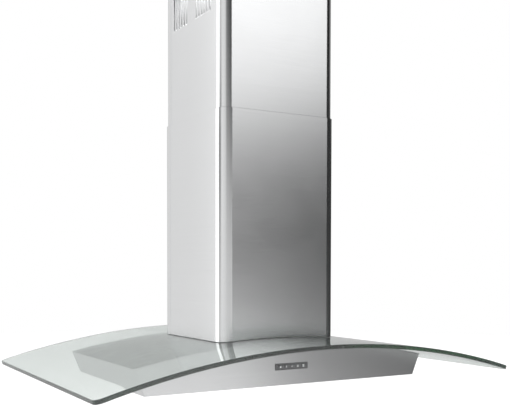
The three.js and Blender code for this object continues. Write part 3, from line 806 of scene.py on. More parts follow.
@dataclass(frozen=True)
class Arch:
    """The curve that the glass and everything fitted to it share.

    Attributes:
        centre: height of its axis.
        radius: of the glass's upper surface.
    """

    centre: float
    radius: float

    def height(self, x: float, offset: float = 0.0) -> float:
        """Returns the height above X of the curve moved outwards by an offset."""
        radius = self.radius + offset
        return self.centre + math.sqrt(radius * radius - x * x)

    def bend(self, mesh: BMesh, offset: float = 0.0) -> None:
        """Bends a flat mesh, whose upper face is at Z = 0, over the curve.

        Args:
            mesh: the bmesh to change.
            offset: of its upper face from the curve.
        """
        radius = self.radius + offset
        for vertex in mesh.verts:
            x, _, z = vertex.co
            turn = math.asin(x / radius)
            vertex.co.x = (radius + z) * math.sin(turn)
            vertex.co.z = self.centre + (radius + z) * math.cos(turn)


# ---------------------------------------------------------------- shared by the sub-assemblies
@dataclass
class Workshop:
    """What every sub-assembly is made with.

    Attributes:
        nodes: the frame's nodes by name.
        materials: the finishes by name.
        arch: the curve of the glass.
    """

    nodes: dict[str, Object]
    materials: dict[str, Material]
    arch: Arch

    def dressing(self, body: str, finish: str, *replaces: str) -> Dressing:
        """Returns the dressing of one piece."""
        return Dressing(body, self.materials[finish], FINISH_SLOTS[finish], replaces)

    def piece(self, name: str, mesh: BMesh, body: str, finish: str, *replaces: str) -> Object:
        """Makes a dressed piece of a finished bmesh.

        Args:
            name: the piece's name.
            mesh: the bmesh, which is freed.
            body: the body that it moves with.
            finish: name of its finish.
            replaces: the nodes that it stands for.

        Returns:
            The new piece.
        """
        return self.dressing(body, finish, *replaces).put_on(as_object(name, mesh))

    def refine(self, node: str, body: str, finish: str, radius: float = 0.4 * MM) -> Object:
        """Makes a piece from a node's own solid, with its sharp edges rounded.

        Args:
            node: the node to stand for.
            body: the body that it moves with.
            finish: name of its finish.
            radius: of the rounded edges.

        Returns:
            The new piece.
        """
        mesh = bmesh.new()
        mesh.from_mesh(self.nodes[node].data)
        bmesh.ops.remove_doubles(mesh, verts=mesh.verts, dist=2e-6)
        bmesh.ops.dissolve_limit(mesh, angle_limit=math.radians(1), verts=mesh.verts, edges=mesh.edges)
        round_off(mesh, sharp_edges(mesh, math.radians(42)), radius, 2)
        bmesh.ops.remove_doubles(mesh, verts=mesh.verts, dist=1e-7)
        made = as_object(f"{node}_piece", mesh)
        return self.dressing(body, finish, node).put_on(made, 38)


def middle_of(node: str) -> Vector:
    """Returns the middle of a node's box."""
    low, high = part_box(node)
    return (low + high) / 2


def rod(radius: float, low: float, high: float, at: Vector, sides: int = 24) -> BMesh:
    """Makes an upright closed cylinder between two heights.

    Args:
        radius: of the cylinder.
        low: its foot.
        high: its top.
        at: a point, whose X and Y its axis goes through.
        sides: how many sides it has.

    Returns:
        A closed bmesh.
    """
    mesh = bmesh.new()
    place = Matrix.Translation((at.x, at.y, (low + high) / 2))
    bmesh.ops.create_cone(mesh, cap_ends=True, segments=sides, radius1=radius, radius2=radius,
                          depth=high - low, matrix=place)
    return mesh


def rounded_block(low: Vector, high: Vector, axis: Axis, radius: float, segments: int = 4) -> BMesh:
    """Makes a box with the four edges along one axis rounded."""
    mesh = block(low, high)
    round_off(mesh, edges_along(mesh, axis), radius, segments)
    return mesh


def spread(middle: Vector, size: Sequence[float]) -> tuple[Vector, Vector]:
    """Returns the two corners of a box with a middle and a size."""
    half = Vector(size) / 2
    return middle - half, middle + half


CORNERS = {"front_left": (-1, -1), "front_right": (1, -1), "rear_left": (-1, 1), "rear_right": (1, 1)}


# ---------------------------------------------------------------- chimney
@dataclass
class TelescopicChimney:
    """The two nested chimneys, each a front and a rear sheet, and the seal under the lower one.

    Attributes:
        shop: what the pieces are made with.
        wall: thickness of the sheet.
        lower_radius: of the lower chimney's corners.
        upper_radius: of the upper chimney's corners.
        strip: width of the strips that let a foot follow the arch.
        slot_width: of a vent slot.
        slot_length: of a vent slot.
        slot_top: height of the slots' upper ends.
        slot_pitch: from slot to slot.
        slot_count: in each group.
        group_offset: of a group's middle from the chimney's.
        lap: how far the strips behind the seams reach to the controls' side of the seam.
        lap_inset: from a sheet's ends to the ends of its lap strips.
        rise: of the lower chimney's foot above the glass.
        seal_rise: of the seal's lower and upper edge above the glass.
        seal_inset: of the seal from the lower chimney's faces.
    """

    shop: Workshop
    wall: float = 1 * MM
    lower_radius: float = 23.4 * MM
    upper_radius: float = 21.73 * MM
    strip: float = 12 * MM
    slot_width: float = 5 * MM
    slot_length: float = 80 * MM
    slot_top: float = -68 * MM
    slot_pitch: float = 11.5 * MM
    slot_count: int = 6
    group_offset: float = 50 * MM
    lap: float = 12 * MM
    lap_inset: float = 110 * MM
    rise: float = 1.2 * MM
    seal_rise: tuple[float, float] = (0.3 * MM, 1.1 * MM)
    seal_inset: float = 0.6 * MM

    def build(self) -> None:
        """Makes the four sheets, their laps, the seal and a dark strip in the gap that paints the shadow line
        between the chimneys.
        """
        for front in (True, False):
            self._sheet("upper", "ceiling_frame", front, self.upper_radius)
            self._sheet("lower", "canopy", front, self.lower_radius)
        self._laps("upper", "ceiling_frame")
        self._laps("lower", "canopy")
        self._seal()
        self._shadow_line_strip()

    def _whole(self, level: str) -> tuple[Vector, Vector]:
        """Returns the box of a front and a rear sheet together."""
        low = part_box(f"{level}_chimney_front")[0]
        return low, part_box(f"{level}_chimney_rear")[1]

    def _tube(self, low: Vector, high: Vector, radius: float) -> BMesh:
        """Makes an open tube with rounded corners between two corners of its box."""
        mesh = rounded_block(low, high, Axis.Z, radius, 10)
        open_ends(mesh)
        return mesh

    def _sheet(self, level: str, body: str, front: bool, radius: float) -> None:
        """Makes one sheet of a chimney.

        Args:
            level: upper, or lower for the one whose foot follows the arch.
            body: the body that it moves with.
            front: the sheet on the controls' side.
            radius: of its corners.
        """
        node = f"{level}_chimney_{'front' if front else 'rear'}"
        low, high = self._whole(level)
        mesh = self._tube(low, high, radius)
        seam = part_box(f"{level}_chimney_front")[1].y + (0 if front else 0.4 * MM)
        cut_at(mesh, Vector((0, seam, 0)), Vector((0, 1, 0)), clear_outer=front, clear_inner=not front)
        if level == "lower":
            slice_along(mesh, Axis.X, low.x, high.x, self.strip)
            for vertex in mesh.verts:
                if vertex.co.z < low.z + MM:
                    vertex.co.z = self.shop.arch.height(vertex.co.x, self.rise)
        made = as_object(f"{node}_sheet", mesh)
        thicken(made, self.wall)
        if level == "upper" and front:
            carve(made, self._slots(low.x, high.x))
        self.shop.dressing(body, "wall_steel", node).put_on(made)

    def _slots(self, left: float, right: float) -> BMesh:
        """Makes the cutter of the vent slots, which run through both side walls."""
        cutters = []
        for group in (-self.group_offset, self.group_offset):
            for i in range(self.slot_count):
                y = group + (i - (self.slot_count - 1) / 2) * self.slot_pitch
                low = Vector((left - MM, y - self.slot_width / 2, self.slot_top - self.slot_length))
                high = Vector((right + MM, y + self.slot_width / 2, self.slot_top))
                cutters.append(rounded_block(low, high, Axis.X, self.slot_width * 0.49))
        return joined(cutters)

    def _laps(self, level: str, body: str) -> None:
        """Makes the strips behind a chimney's two seams."""
        low, high = self._whole(level)
        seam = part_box(f"{level}_chimney_front")[1].y
        inner = high.x - self.wall - 0.3 * MM
        strips = []
        behind = 10 * MM
        size = (self.wall, self.lap + behind, high.z - low.z - 2 * self.lap_inset)
        for side in (-1, 1):
            x = side * (inner - self.wall / 2)
            middle = Vector((x, seam - (self.lap - behind) / 2, (low.z + high.z) / 2))
            strips.append(rounded_block(*spread(middle, size), Axis.X, 2 * MM))
        self.shop.piece(f"{level}_chimney_laps", joined(strips), body, "wall_steel")

    def _shadow_line_strip(self) -> None:
        """Lines the top of the lower chimney with a dark rubber strip just above its edge, a painted shadow
        line in the gap between the two chimneys.
        """
        low, high = self._whole("lower")
        inset = Vector((self.wall + 0.05 * MM, self.wall + 0.05 * MM, 0))
        foot = Vector((low.x, low.y, high.z - 8 * MM)) + inset
        # The strip stands 0.55 mm above the lower chimney's edge so that it shows as a painted shadow line.
        top = high - inset + Vector((0, 0, 0.55 * MM))
        made = as_object("chimney_shadow_line_strip", self._tube(foot, top, self.lower_radius - inset.x))
        thicken(made, 0.8 * MM)
        # Black rubber here is painted shade: the dark shadow line seen in the gap between the chimneys.
        self.shop.dressing("canopy", "rubber").put_on(made)

    def _seal(self) -> None:
        """Makes the rubber edging that the lower chimney stands on."""
        low, high = self._whole("lower")
        inset = Vector((self.seal_inset, self.seal_inset, 0))
        mesh = self._tube(low + inset, high - inset, self.lower_radius - self.seal_inset)
        slice_along(mesh, Axis.X, low.x, high.x, self.strip)
        bottom, top = self.seal_rise
        split = (low.z + high.z) / 2
        for vertex in mesh.verts:
            offset = bottom if vertex.co.z < split else top
            vertex.co.z = self.shop.arch.height(vertex.co.x, offset)
        made = as_object("chimney_base_seal_strip", mesh)
        thicken(made, self.wall)
        self.shop.dressing("canopy", "silicone", "chimney_base_seal").put_on(made)


# ---------------------------------------------------------------- glass
def hole_cutters(opening: tuple[float, float], corner: float, bolt: float, low: float,
                 high: float) -> BMesh:
    """Makes the cutter for the air's opening and the four bolts, for a sheet that is still flat.

    Args:
        opening: width and depth of the hole for the air.
        corner: radius of its corners.
        bolt: radius of a bolt's hole.
        low: foot of the cutter.
        high: its top.

    Returns:
        A bmesh that holds every cutter.
    """
    hole = Vector((opening[0] / 2, opening[1] / 2, 0))
    corners = Vector((-hole.x, -hole.y, low)), Vector((hole.x, hole.y, high))
    cutters = [rounded_block(*corners, Axis.Z, corner)]
    for ending in CORNERS:
        cutters.append(rod(bolt, low, high, middle_of(f"clamp_bolt_{ending}")))
    return joined(cutters)


@dataclass
class GlassCanopy:
    """The arched glass, its gasket, and the ring and bolts that clamp it.

    Attributes:
        shop: what the pieces are made with.
        thickness: of the glass.
        corner_radius: of the glass's corners.
        arris: width of its ground edges.
        strip: width of the facets along the arch.
        opening: width and depth of the hole for the air.
        bolt_hole: radius of the holes for the bolts.
        gasket_offset: of the gasket's upper face from the glass's.
        ring_offset: of the ring's upper face from the glass's.
    """

    shop: Workshop
    thickness: float = 8 * MM
    corner_radius: float = 15 * MM
    arris: float = 1.1 * MM
    strip: float = 9 * MM
    opening: tuple[float, float] = (188 * MM, 176 * MM)
    bolt_hole: float = 6 * MM
    gasket_offset: float = -8.3 * MM
    ring_offset: float = 3.3 * MM

    def build(self) -> None:
        """Makes the glass and what holds it."""
        glass = self.shop.dressing("canopy", "canopy_glass", "glass_canopy")
        self._sheet("glass_canopy", self.thickness, 0, self.corner_radius, self.opening, glass)
        shrunk = (self.opening[0] - 4 * MM, self.opening[1] - 4 * MM)
        gasket = self.shop.dressing("canopy", "rubber", "glass_gasket")
        self._sheet("glass_gasket", 1.2 * MM, self.gasket_offset, 18 * MM, shrunk, gasket)
        ring = self.shop.dressing("canopy", "zinc", "clamp_ring")
        self._sheet("clamp_ring", 3 * MM, self.ring_offset, 18 * MM, shrunk, ring)
        for ending in CORNERS:
            self._bolt(f"clamp_bolt_{ending}")

    def _sheet(self, node: str, thickness: float, offset: float, corner: float,
               opening: tuple[float, float], dressing: Dressing) -> None:
        """Makes one layer that is bent over the arch.

        Args:
            node: the node that it stands for.
            thickness: of the layer.
            offset: of its upper face from the glass's.
            corner: radius of its corners.
            opening: width and depth of its hole.
            dressing: how it is finished.
        """
        low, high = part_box(node)
        corners = Vector((low.x, low.y, -thickness)), Vector((high.x, high.y, 0))
        made = as_object(f"{node}_sheet", rounded_block(*corners, Axis.Z, corner, 8))
        carve(made, hole_cutters(opening, 4 * MM, self.bolt_hole, -2 * thickness, thickness))

        def shape(mesh: BMesh) -> None:
            """Grinds the rims and bends the layer."""
            rims = corner_edges(mesh, 0) + corner_edges(mesh, -thickness)
            round_off(mesh, rims, min(self.arris, thickness / 4), 3)
            slice_along(mesh, Axis.X, low.x, high.x, self.strip)
            self.shop.arch.bend(mesh, offset)

        edit(made, shape)
        mark_rims(made)
        dressing.put_on(made, 50)

    def _bolt(self, node: str) -> None:
        """Makes a clamp bolt: a chamfered hexagon head and nut on a shank, with a washer under each."""
        low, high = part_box(node)
        at = middle_of(node)
        head, shank, washer = 5 * MM, 4 * MM, 1 * MM
        across = (high.y - low.y) / 2
        parts = []
        for foot, top in ((high.z - head + washer, high.z), (low.z, low.z + head - washer)):
            hexagon = rod(across * 0.98, foot, top, at, 6)
            round_off(hexagon, sharp_edges(hexagon, 0.5), 0.5 * MM, 2)
            parts.append(hexagon)
        parts.append(rod(shank, low.z + head / 2, high.z - head / 2, at))
        for foot in (high.z - head, low.z + head - washer):
            disc = rod(across, foot, foot + washer, at, 28)
            round_off(disc, sharp_edges(disc, 1), 0.2 * MM, 1)
            parts.append(disc)
        self.shop.piece(f"{node}_set", joined(parts), "canopy", "zinc", node)


# ---------------------------------------------------------------- body
@dataclass
class CanopyBody:
    """The steel body under the glass: its folded walls, its arched top and its bottom panel.

    Attributes:
        shop: what the pieces are made with.
        wall: thickness of the sheet.
        fold: outer radius of the folded corners.
        hem: width of the return along the lower edge.
        strip: width of the strips along the arch.
        plate_offset: of the top plate's upper face from the glass's.
        panel_corner: radius of the bottom panel's corners.
        lamp_hole: radius of the holes for the lamps.
        air_opening: width and depth of the hole in the top plate.
        bolt_hole: radius of the holes for the clamp bolts.
        key_window: size of the opening for the controls.
        filter_opening: size of the opening for a filter.
    """

    shop: Workshop
    wall: float = 1 * MM
    fold: float = 1.6 * MM
    hem: float = 7 * MM
    strip: float = 12 * MM
    plate_offset: float = -9.8 * MM
    panel_corner: float = 4 * MM
    lamp_hole: float = 29.5 * MM
    air_opening: tuple[float, float] = (184 * MM, 172 * MM)
    bolt_hole: float = 4.6 * MM
    key_window: tuple[float, float, float] = (69.2 * MM, 8 * MM, 10.4 * MM)
    filter_opening: tuple[float, float, float] = (214 * MM, 254 * MM, 20 * MM)

    def build(self) -> None:
        """Makes the three sheets."""
        self._walls()
        self._top_plate()
        self._bottom_panel()

    def _walls(self) -> None:
        """Makes the four walls, wider at the top, with a hem below and an opening for the controls."""
        low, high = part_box("canopy_body")
        top_half = high.x
        rim_offset = self.plate_offset - self.wall - 0.3 * MM
        end_height = self.shop.arch.height(top_half, rim_offset)
        foot_half = top_half - (end_height - low.z) * self._slope(low, end_height)
        mesh = block(Vector((-foot_half, low.y, low.z)), Vector((foot_half, high.y, end_height)))
        for vertex in mesh.verts:
            if vertex.co.z > end_height - MM:
                vertex.co.x = math.copysign(top_half, vertex.co.x)
        round_off(mesh, edges_along(mesh, lean=0.8), self.fold, 4)
        open_ends(mesh)
        slice_along(mesh, Axis.X, -foot_half, foot_half, self.strip)
        for vertex in mesh.verts:
            if vertex.co.z > end_height - MM:
                vertex.co.z = self.shop.arch.height(vertex.co.x, rim_offset)
        self._add_hem(mesh, low.z, Vector((foot_half, high.y, 0)))
        made = as_object("canopy_body_walls", mesh)
        thicken(made, self.wall)
        middle = Vector((0, low.y, middle_of("control_bezel").z))
        carve(made, block(*spread(middle, self.key_window)))
        self.shop.dressing("canopy", "wall_steel", "canopy_body").put_on(made)

    def _slope(self, low: Vector, end_height: float) -> float:
        """Returns how far an end wall leans out for each metre that it rises."""
        foot_edge = max(v.co.x for v in self.shop.nodes["canopy_body"].data.vertices if v.co.z < low.z + 1e-5)
        return (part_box("canopy_body")[1].x - foot_edge) / (end_height - low.z)

    def _add_hem(self, mesh: BMesh, height: float, half: Vector) -> None:
        """Turns the lower edge inwards into a narrow return."""
        rim = edges_at(mesh, height)
        grown = bmesh.ops.extrude_edge_only(mesh, edges=rim)["geom"]
        moved = [v for v in grown if isinstance(v, bmesh.types.BMVert)]
        for vertex in moved:
            vertex.co.x *= (half.x - self.hem) / half.x
            vertex.co.y *= (half.y - self.hem) / half.y
        bmesh.ops.recalc_face_normals(mesh, faces=mesh.faces)
        round_off(mesh, corner_edges(mesh, height), 0.9 * MM, 3)

    def _top_plate(self) -> None:
        """Makes the arched plate that the glass lies on."""
        low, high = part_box("canopy_top_plate")
        sheet = block(Vector((low.x, low.y, -self.wall)), Vector((high.x, high.y, 0)))
        made = as_object("canopy_top_plate_sheet", sheet)
        reach = 3 * self.wall
        carve(made, hole_cutters(self.air_opening, 3 * MM, self.bolt_hole, -reach, reach))

        def shape(mesh: BMesh) -> None:
            """Softens the upper rim and bends the plate."""
            round_off(mesh, corner_edges(mesh, 0), 0.4 * MM, 2)
            slice_along(mesh, Axis.X, low.x, high.x, self.strip)
            self.shop.arch.bend(mesh, self.plate_offset)

        edit(made, shape)
        self.shop.dressing("canopy", "plate_steel", "canopy_top_plate").put_on(made)

    def _bottom_panel(self) -> None:
        """Makes the pressed tray with openings for the filters and the lamps."""
        low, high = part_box("bottom_panel")
        mesh = rounded_block(low, high, Axis.Z, self.panel_corner, 5)
        open_ends(mesh, both=False)
        round_off(mesh, corner_edges(mesh, low.z), 1.2 * MM, 3)
        made = as_object("bottom_panel_tray", mesh)
        thicken(made, self.wall)
        cutters = []
        for side in ("left", "right"):
            middle = Vector((middle_of(f"grease_filter_{side}").x, 0, low.z))
            cutters.append(rounded_block(*spread(middle, self.filter_opening), Axis.Z, 2 * MM, 3))
        reach = 9 * MM
        for ending in CORNERS:
            at = middle_of(f"lamp_housing_{ending}")
            cutters.append(rod(self.lamp_hole, low.z - reach, low.z + reach, at, 64))
        carve(made, joined(cutters))
        edit(made, lambda mesh: round_off(mesh, sharp_edges(mesh, 1.2), 0.25 * MM, 2))
        self.shop.dressing("canopy", "plate_steel", "bottom_panel").put_on(made)


# ---------------------------------------------------------------- filters and lamps
@dataclass
class GreaseFilters:
    """The two baffle filters and their latches.

    Attributes:
        shop: what the pieces are made with.
        roll: radius of the rolled edges of the baffles.
    """

    shop: Workshop
    roll: float = 1.1 * MM

    def build(self) -> None:
        """Makes both filters."""
        for side in ("left", "right"):
            self.shop.refine(f"grease_filter_{side}", f"filter_{side}", "aluminium", self.roll)
            self.shop.refine(f"filter_latch_{side}", f"latch_{side}", "dark", 0.6 * MM)


@dataclass
class Lamps:
    """The four lamps: a turned housing with a bright reflector, a diode and a ridged lens.

    Attributes:
        shop: what the pieces are made with.
        wall: thickness of the housing.
        flange: thickness of the trim ring.
        trim: width of the trim ring outside the housing.
        throat: radius of the reflector's upper end.
        bowl_steps: how many facets the reflector's curve has.
        ridges: how many rings the lens has.
    """

    shop: Workshop
    wall: float = 1.5 * MM
    flange: float = 1 * MM
    trim: float = 3.8 * MM
    throat: float = 7 * MM
    bowl_steps: int = 8
    ridges: int = 6

    def build(self) -> None:
        """Makes all four lamps."""
        for ending in CORNERS:
            self._housing(f"lamp_housing_{ending}", f"lamp_lens_{ending}")
            self._lens(f"lamp_lens_{ending}")
            self._diode(ending)

    def _housing(self, node: str, lens: str) -> None:
        """Makes the housing, whose inside is a reflector above the lens."""
        low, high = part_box(node)
        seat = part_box(lens)[1].z + 0.4 * MM
        rim = (high.x - low.x) / 2
        outer = rim - self.trim
        bore = outer - self.wall
        foot, top = low.z, high.z
        bowl = []
        for i in range(self.bowl_steps + 1):
            t = i / self.bowl_steps
            bowl.append((bore + (self.throat - bore) * t, seat + (top - self.wall - seat) * math.sqrt(t)))
        lip = [(bore, foot + 0.5 * MM), (bore + 0.5 * MM, foot + 0.1 * MM), (bore + 1.4 * MM, foot)]
        ring = [(rim - 0.7 * MM, foot + 0.15 * MM), (rim, foot + 0.6 * MM), (rim, foot + self.flange)]
        can = [(outer, foot + self.flange), (outer, top - MM), (outer - MM, top), (0, top)]
        profile = [(0, top), (0, top - self.wall), *reversed(bowl), *lip, *ring, *can]
        mesh = turned(profile, 64, Vector((*middle_of(node).xy, 0)))
        made = as_object(f"{node}_turned", mesh)
        self.shop.dressing("canopy", "chrome", node).put_on(made, 24)

    def _lens(self, node: str) -> None:
        """Makes the lens, with rings on its upper face and a slightly domed lower one."""
        low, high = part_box(node)
        radius = (high.x - low.x) / 2
        depth = high.z - low.z
        profile = [(0, high.z)]
        for i in range(self.ridges):
            start = radius * 0.9 * (i + 0.5) / self.ridges
            profile.append((start, high.z - 0.6 * MM))
            profile.append((start + radius * 0.45 / self.ridges, high.z))
        profile += [(radius, high.z), (radius, low.z + 0.3 * depth), (radius * 0.96, low.z + 0.12 * depth),
                    (radius * 0.6, low.z + 0.03 * depth), (0, low.z)]
        mesh = turned(profile, 64, Vector((*middle_of(node).xy, 0)))
        made = as_object(f"{node}_turned", mesh)
        self.shop.dressing("canopy", "lens_glass", node).put_on(made, 24)

    def _diode(self, ending: str) -> None:
        """Makes the light source at the top of the reflector."""
        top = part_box(f"lamp_housing_{ending}")[1].z - self.wall
        dome = [(0, top - 3 * MM), (4 * MM, top - 2.6 * MM), (6 * MM, top - 1.2 * MM)]
        profile = [*dome, (6.4 * MM, top - 0.3 * MM), (0, top - 0.3 * MM), dome[0]]
        mesh = turned(profile, 32, Vector((*middle_of(f"lamp_housing_{ending}").xy, 0)))
        self.shop.piece(f"lamp_diode_{ending}", mesh, "canopy", "lamp")


# ---------------------------------------------------------------- controls
class Sign(Enum):
    """The raised marks on the keys, as bars and dots in steps of the key's own size."""

    LIGHT = ((0.0, 0.0, 0.34, 0.34),)
    OFF = ((0.0, 0.0, 0.12, 0.5),)
    LOW = ((0.0, 0.0, 0.44, 0.14),)
    MID = ((0.0, -0.16, 0.44, 0.14), (0.0, 0.16, 0.44, 0.14))
    HIGH = ((0.0, -0.28, 0.44, 0.14), (0.0, 0.0, 0.44, 0.14), (0.0, 0.28, 0.44, 0.14))


@dataclass
class ControlStrip:
    """The bezel, its five keys with their marks, and the board behind them.

    Attributes:
        shop: what the pieces are made with.
        corner: radius of the bezel's corners.
        key_corner: radius of the keys' corners.
        mark_height: how far the marks stand out.
        signs: the mark on each key, by the ending of the key's node.
    """

    shop: Workshop
    corner: float = 1.6 * MM
    key_corner: float = 1.1 * MM
    mark_height: float = 0.12 * MM
    signs: dict[str, Sign] = field(default_factory=lambda: {
        "light": Sign.LIGHT, "off": Sign.OFF,
        "speed_low": Sign.LOW, "speed_mid": Sign.MID, "speed_high": Sign.HIGH})

    def build(self) -> None:
        """Makes the strip."""
        self._bezel()
        for ending, sign in self.signs.items():
            self._key(f"button_{ending}", sign)
        self.shop.refine("control_board", "canopy", "board", 0.2 * MM)

    def _bezel(self) -> None:
        """Makes the bezel with a softened face and a window for each key."""
        low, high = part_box("control_bezel")
        plate_back = low.y + 1.2 * MM
        plate = rounded_block(low, Vector((high.x, plate_back, high.z)), Axis.Y, self.corner)
        round_off(plate, edges_at(plate, low.y, Axis.Y), 0.5 * MM, 3)
        made = as_object("control_bezel_plate", plate)
        inner = Vector((3.2 * MM, 0, 1.6 * MM))
        collar = block(low + Vector((0, 0.6 * MM, 0)) + inner, high - inner)
        combine(made, collar, "UNION")
        windows = []
        for ending in self.signs:
            key_low, key_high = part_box(f"button_{ending}")
            gap = Vector((0.3 * MM, 20 * MM, 0.3 * MM))
            windows.append(rounded_block(key_low - gap, key_high + gap, Axis.Y, self.key_corner + 0.3 * MM))
        carve(made, joined(windows))
        self.shop.dressing("canopy", "dark", "control_bezel").put_on(made)

    def _key(self, node: str, sign: Sign) -> None:
        """Makes one key and its mark."""
        low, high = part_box(node)
        mesh = rounded_block(low, high, Axis.Y, self.key_corner)
        round_off(mesh, edges_at(mesh, low.y, Axis.Y), 0.6 * MM, 3)
        self.shop.piece(f"{node}_key", mesh, node, "key", node)
        size = high - low
        bars = []
        for x, z, width, height in sign.value:
            middle = middle_of(node) + Vector((x * size.x, 0, z * size.z))
            middle.y = low.y
            extent = (width * size.x, 2 * self.mark_height, height * size.z)
            bars.append(rounded_block(*spread(middle, extent), Axis.Y, min(extent[0], extent[2]) * 0.3))
        self.shop.piece(f"{node}_mark", joined(bars), node, "mark")


# ---------------------------------------------------------------- hidden structure
@dataclass
class SupportFrame:
    """The ceiling plate, the nested posts, the tie frames and the chimney's brackets.

    Attributes:
        shop: what the pieces are made with.
        edge: radius of the sheared edges.
        bend: radius of the folded brackets and posts.
        sheet: thickness of the tie frames.
        screw_inset: from a tie frame's end to its screws.
    """

    shop: Workshop
    edge: float = 0.3 * MM
    bend: float = 0.5 * MM
    sheet: float = 2 * MM
    screw_inset: float = 13 * MM

    def build(self) -> None:
        """Makes every piece of the frame."""
        brackets = [f"upper_chimney_bracket_{side}" for side in ("left", "right")]
        for node in ("ceiling_plate", "upper_tie_frame", *brackets):
            self.shop.refine(node, "ceiling_frame", "zinc", self.edge)
        self.shop.refine("lower_tie_frame", "canopy", "zinc", self.edge)
        for ending in CORNERS:
            self.shop.refine(f"upper_post_{ending}", "ceiling_frame", "zinc", self.bend)
            self.shop.refine(f"lower_post_{ending}", "canopy", "zinc", self.bend)
        self._screws()

    def _screws(self) -> None:
        """Makes the screws that hold the tie frames to the posts."""
        crown = (0, 2.2 * MM)
        profile = [crown, (2.2 * MM, 1.7 * MM), (3.4 * MM, 0.6 * MM), (3.4 * MM, 0), (0, 0), crown]
        for tie, body in (("upper_tie_frame", "ceiling_frame"), ("lower_tie_frame", "canopy")):
            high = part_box(tie)[1]
            heads = []
            for side_x, side_y in CORNERS.values():
                mesh = turned(profile, 20)
                turn = Matrix.Rotation(-side_x * math.pi / 2, 4, "Y")
                x, y = side_x * (high.x - self.sheet), side_y * (high.y - self.screw_inset)
                place = Matrix.Translation((x, y, middle_of(tie).z))
                bmesh.ops.transform(mesh, matrix=place @ turn, verts=mesh.verts)
                heads.append(mesh)
            self.shop.piece(f"{tie}_screws", joined(heads), body, "zinc")


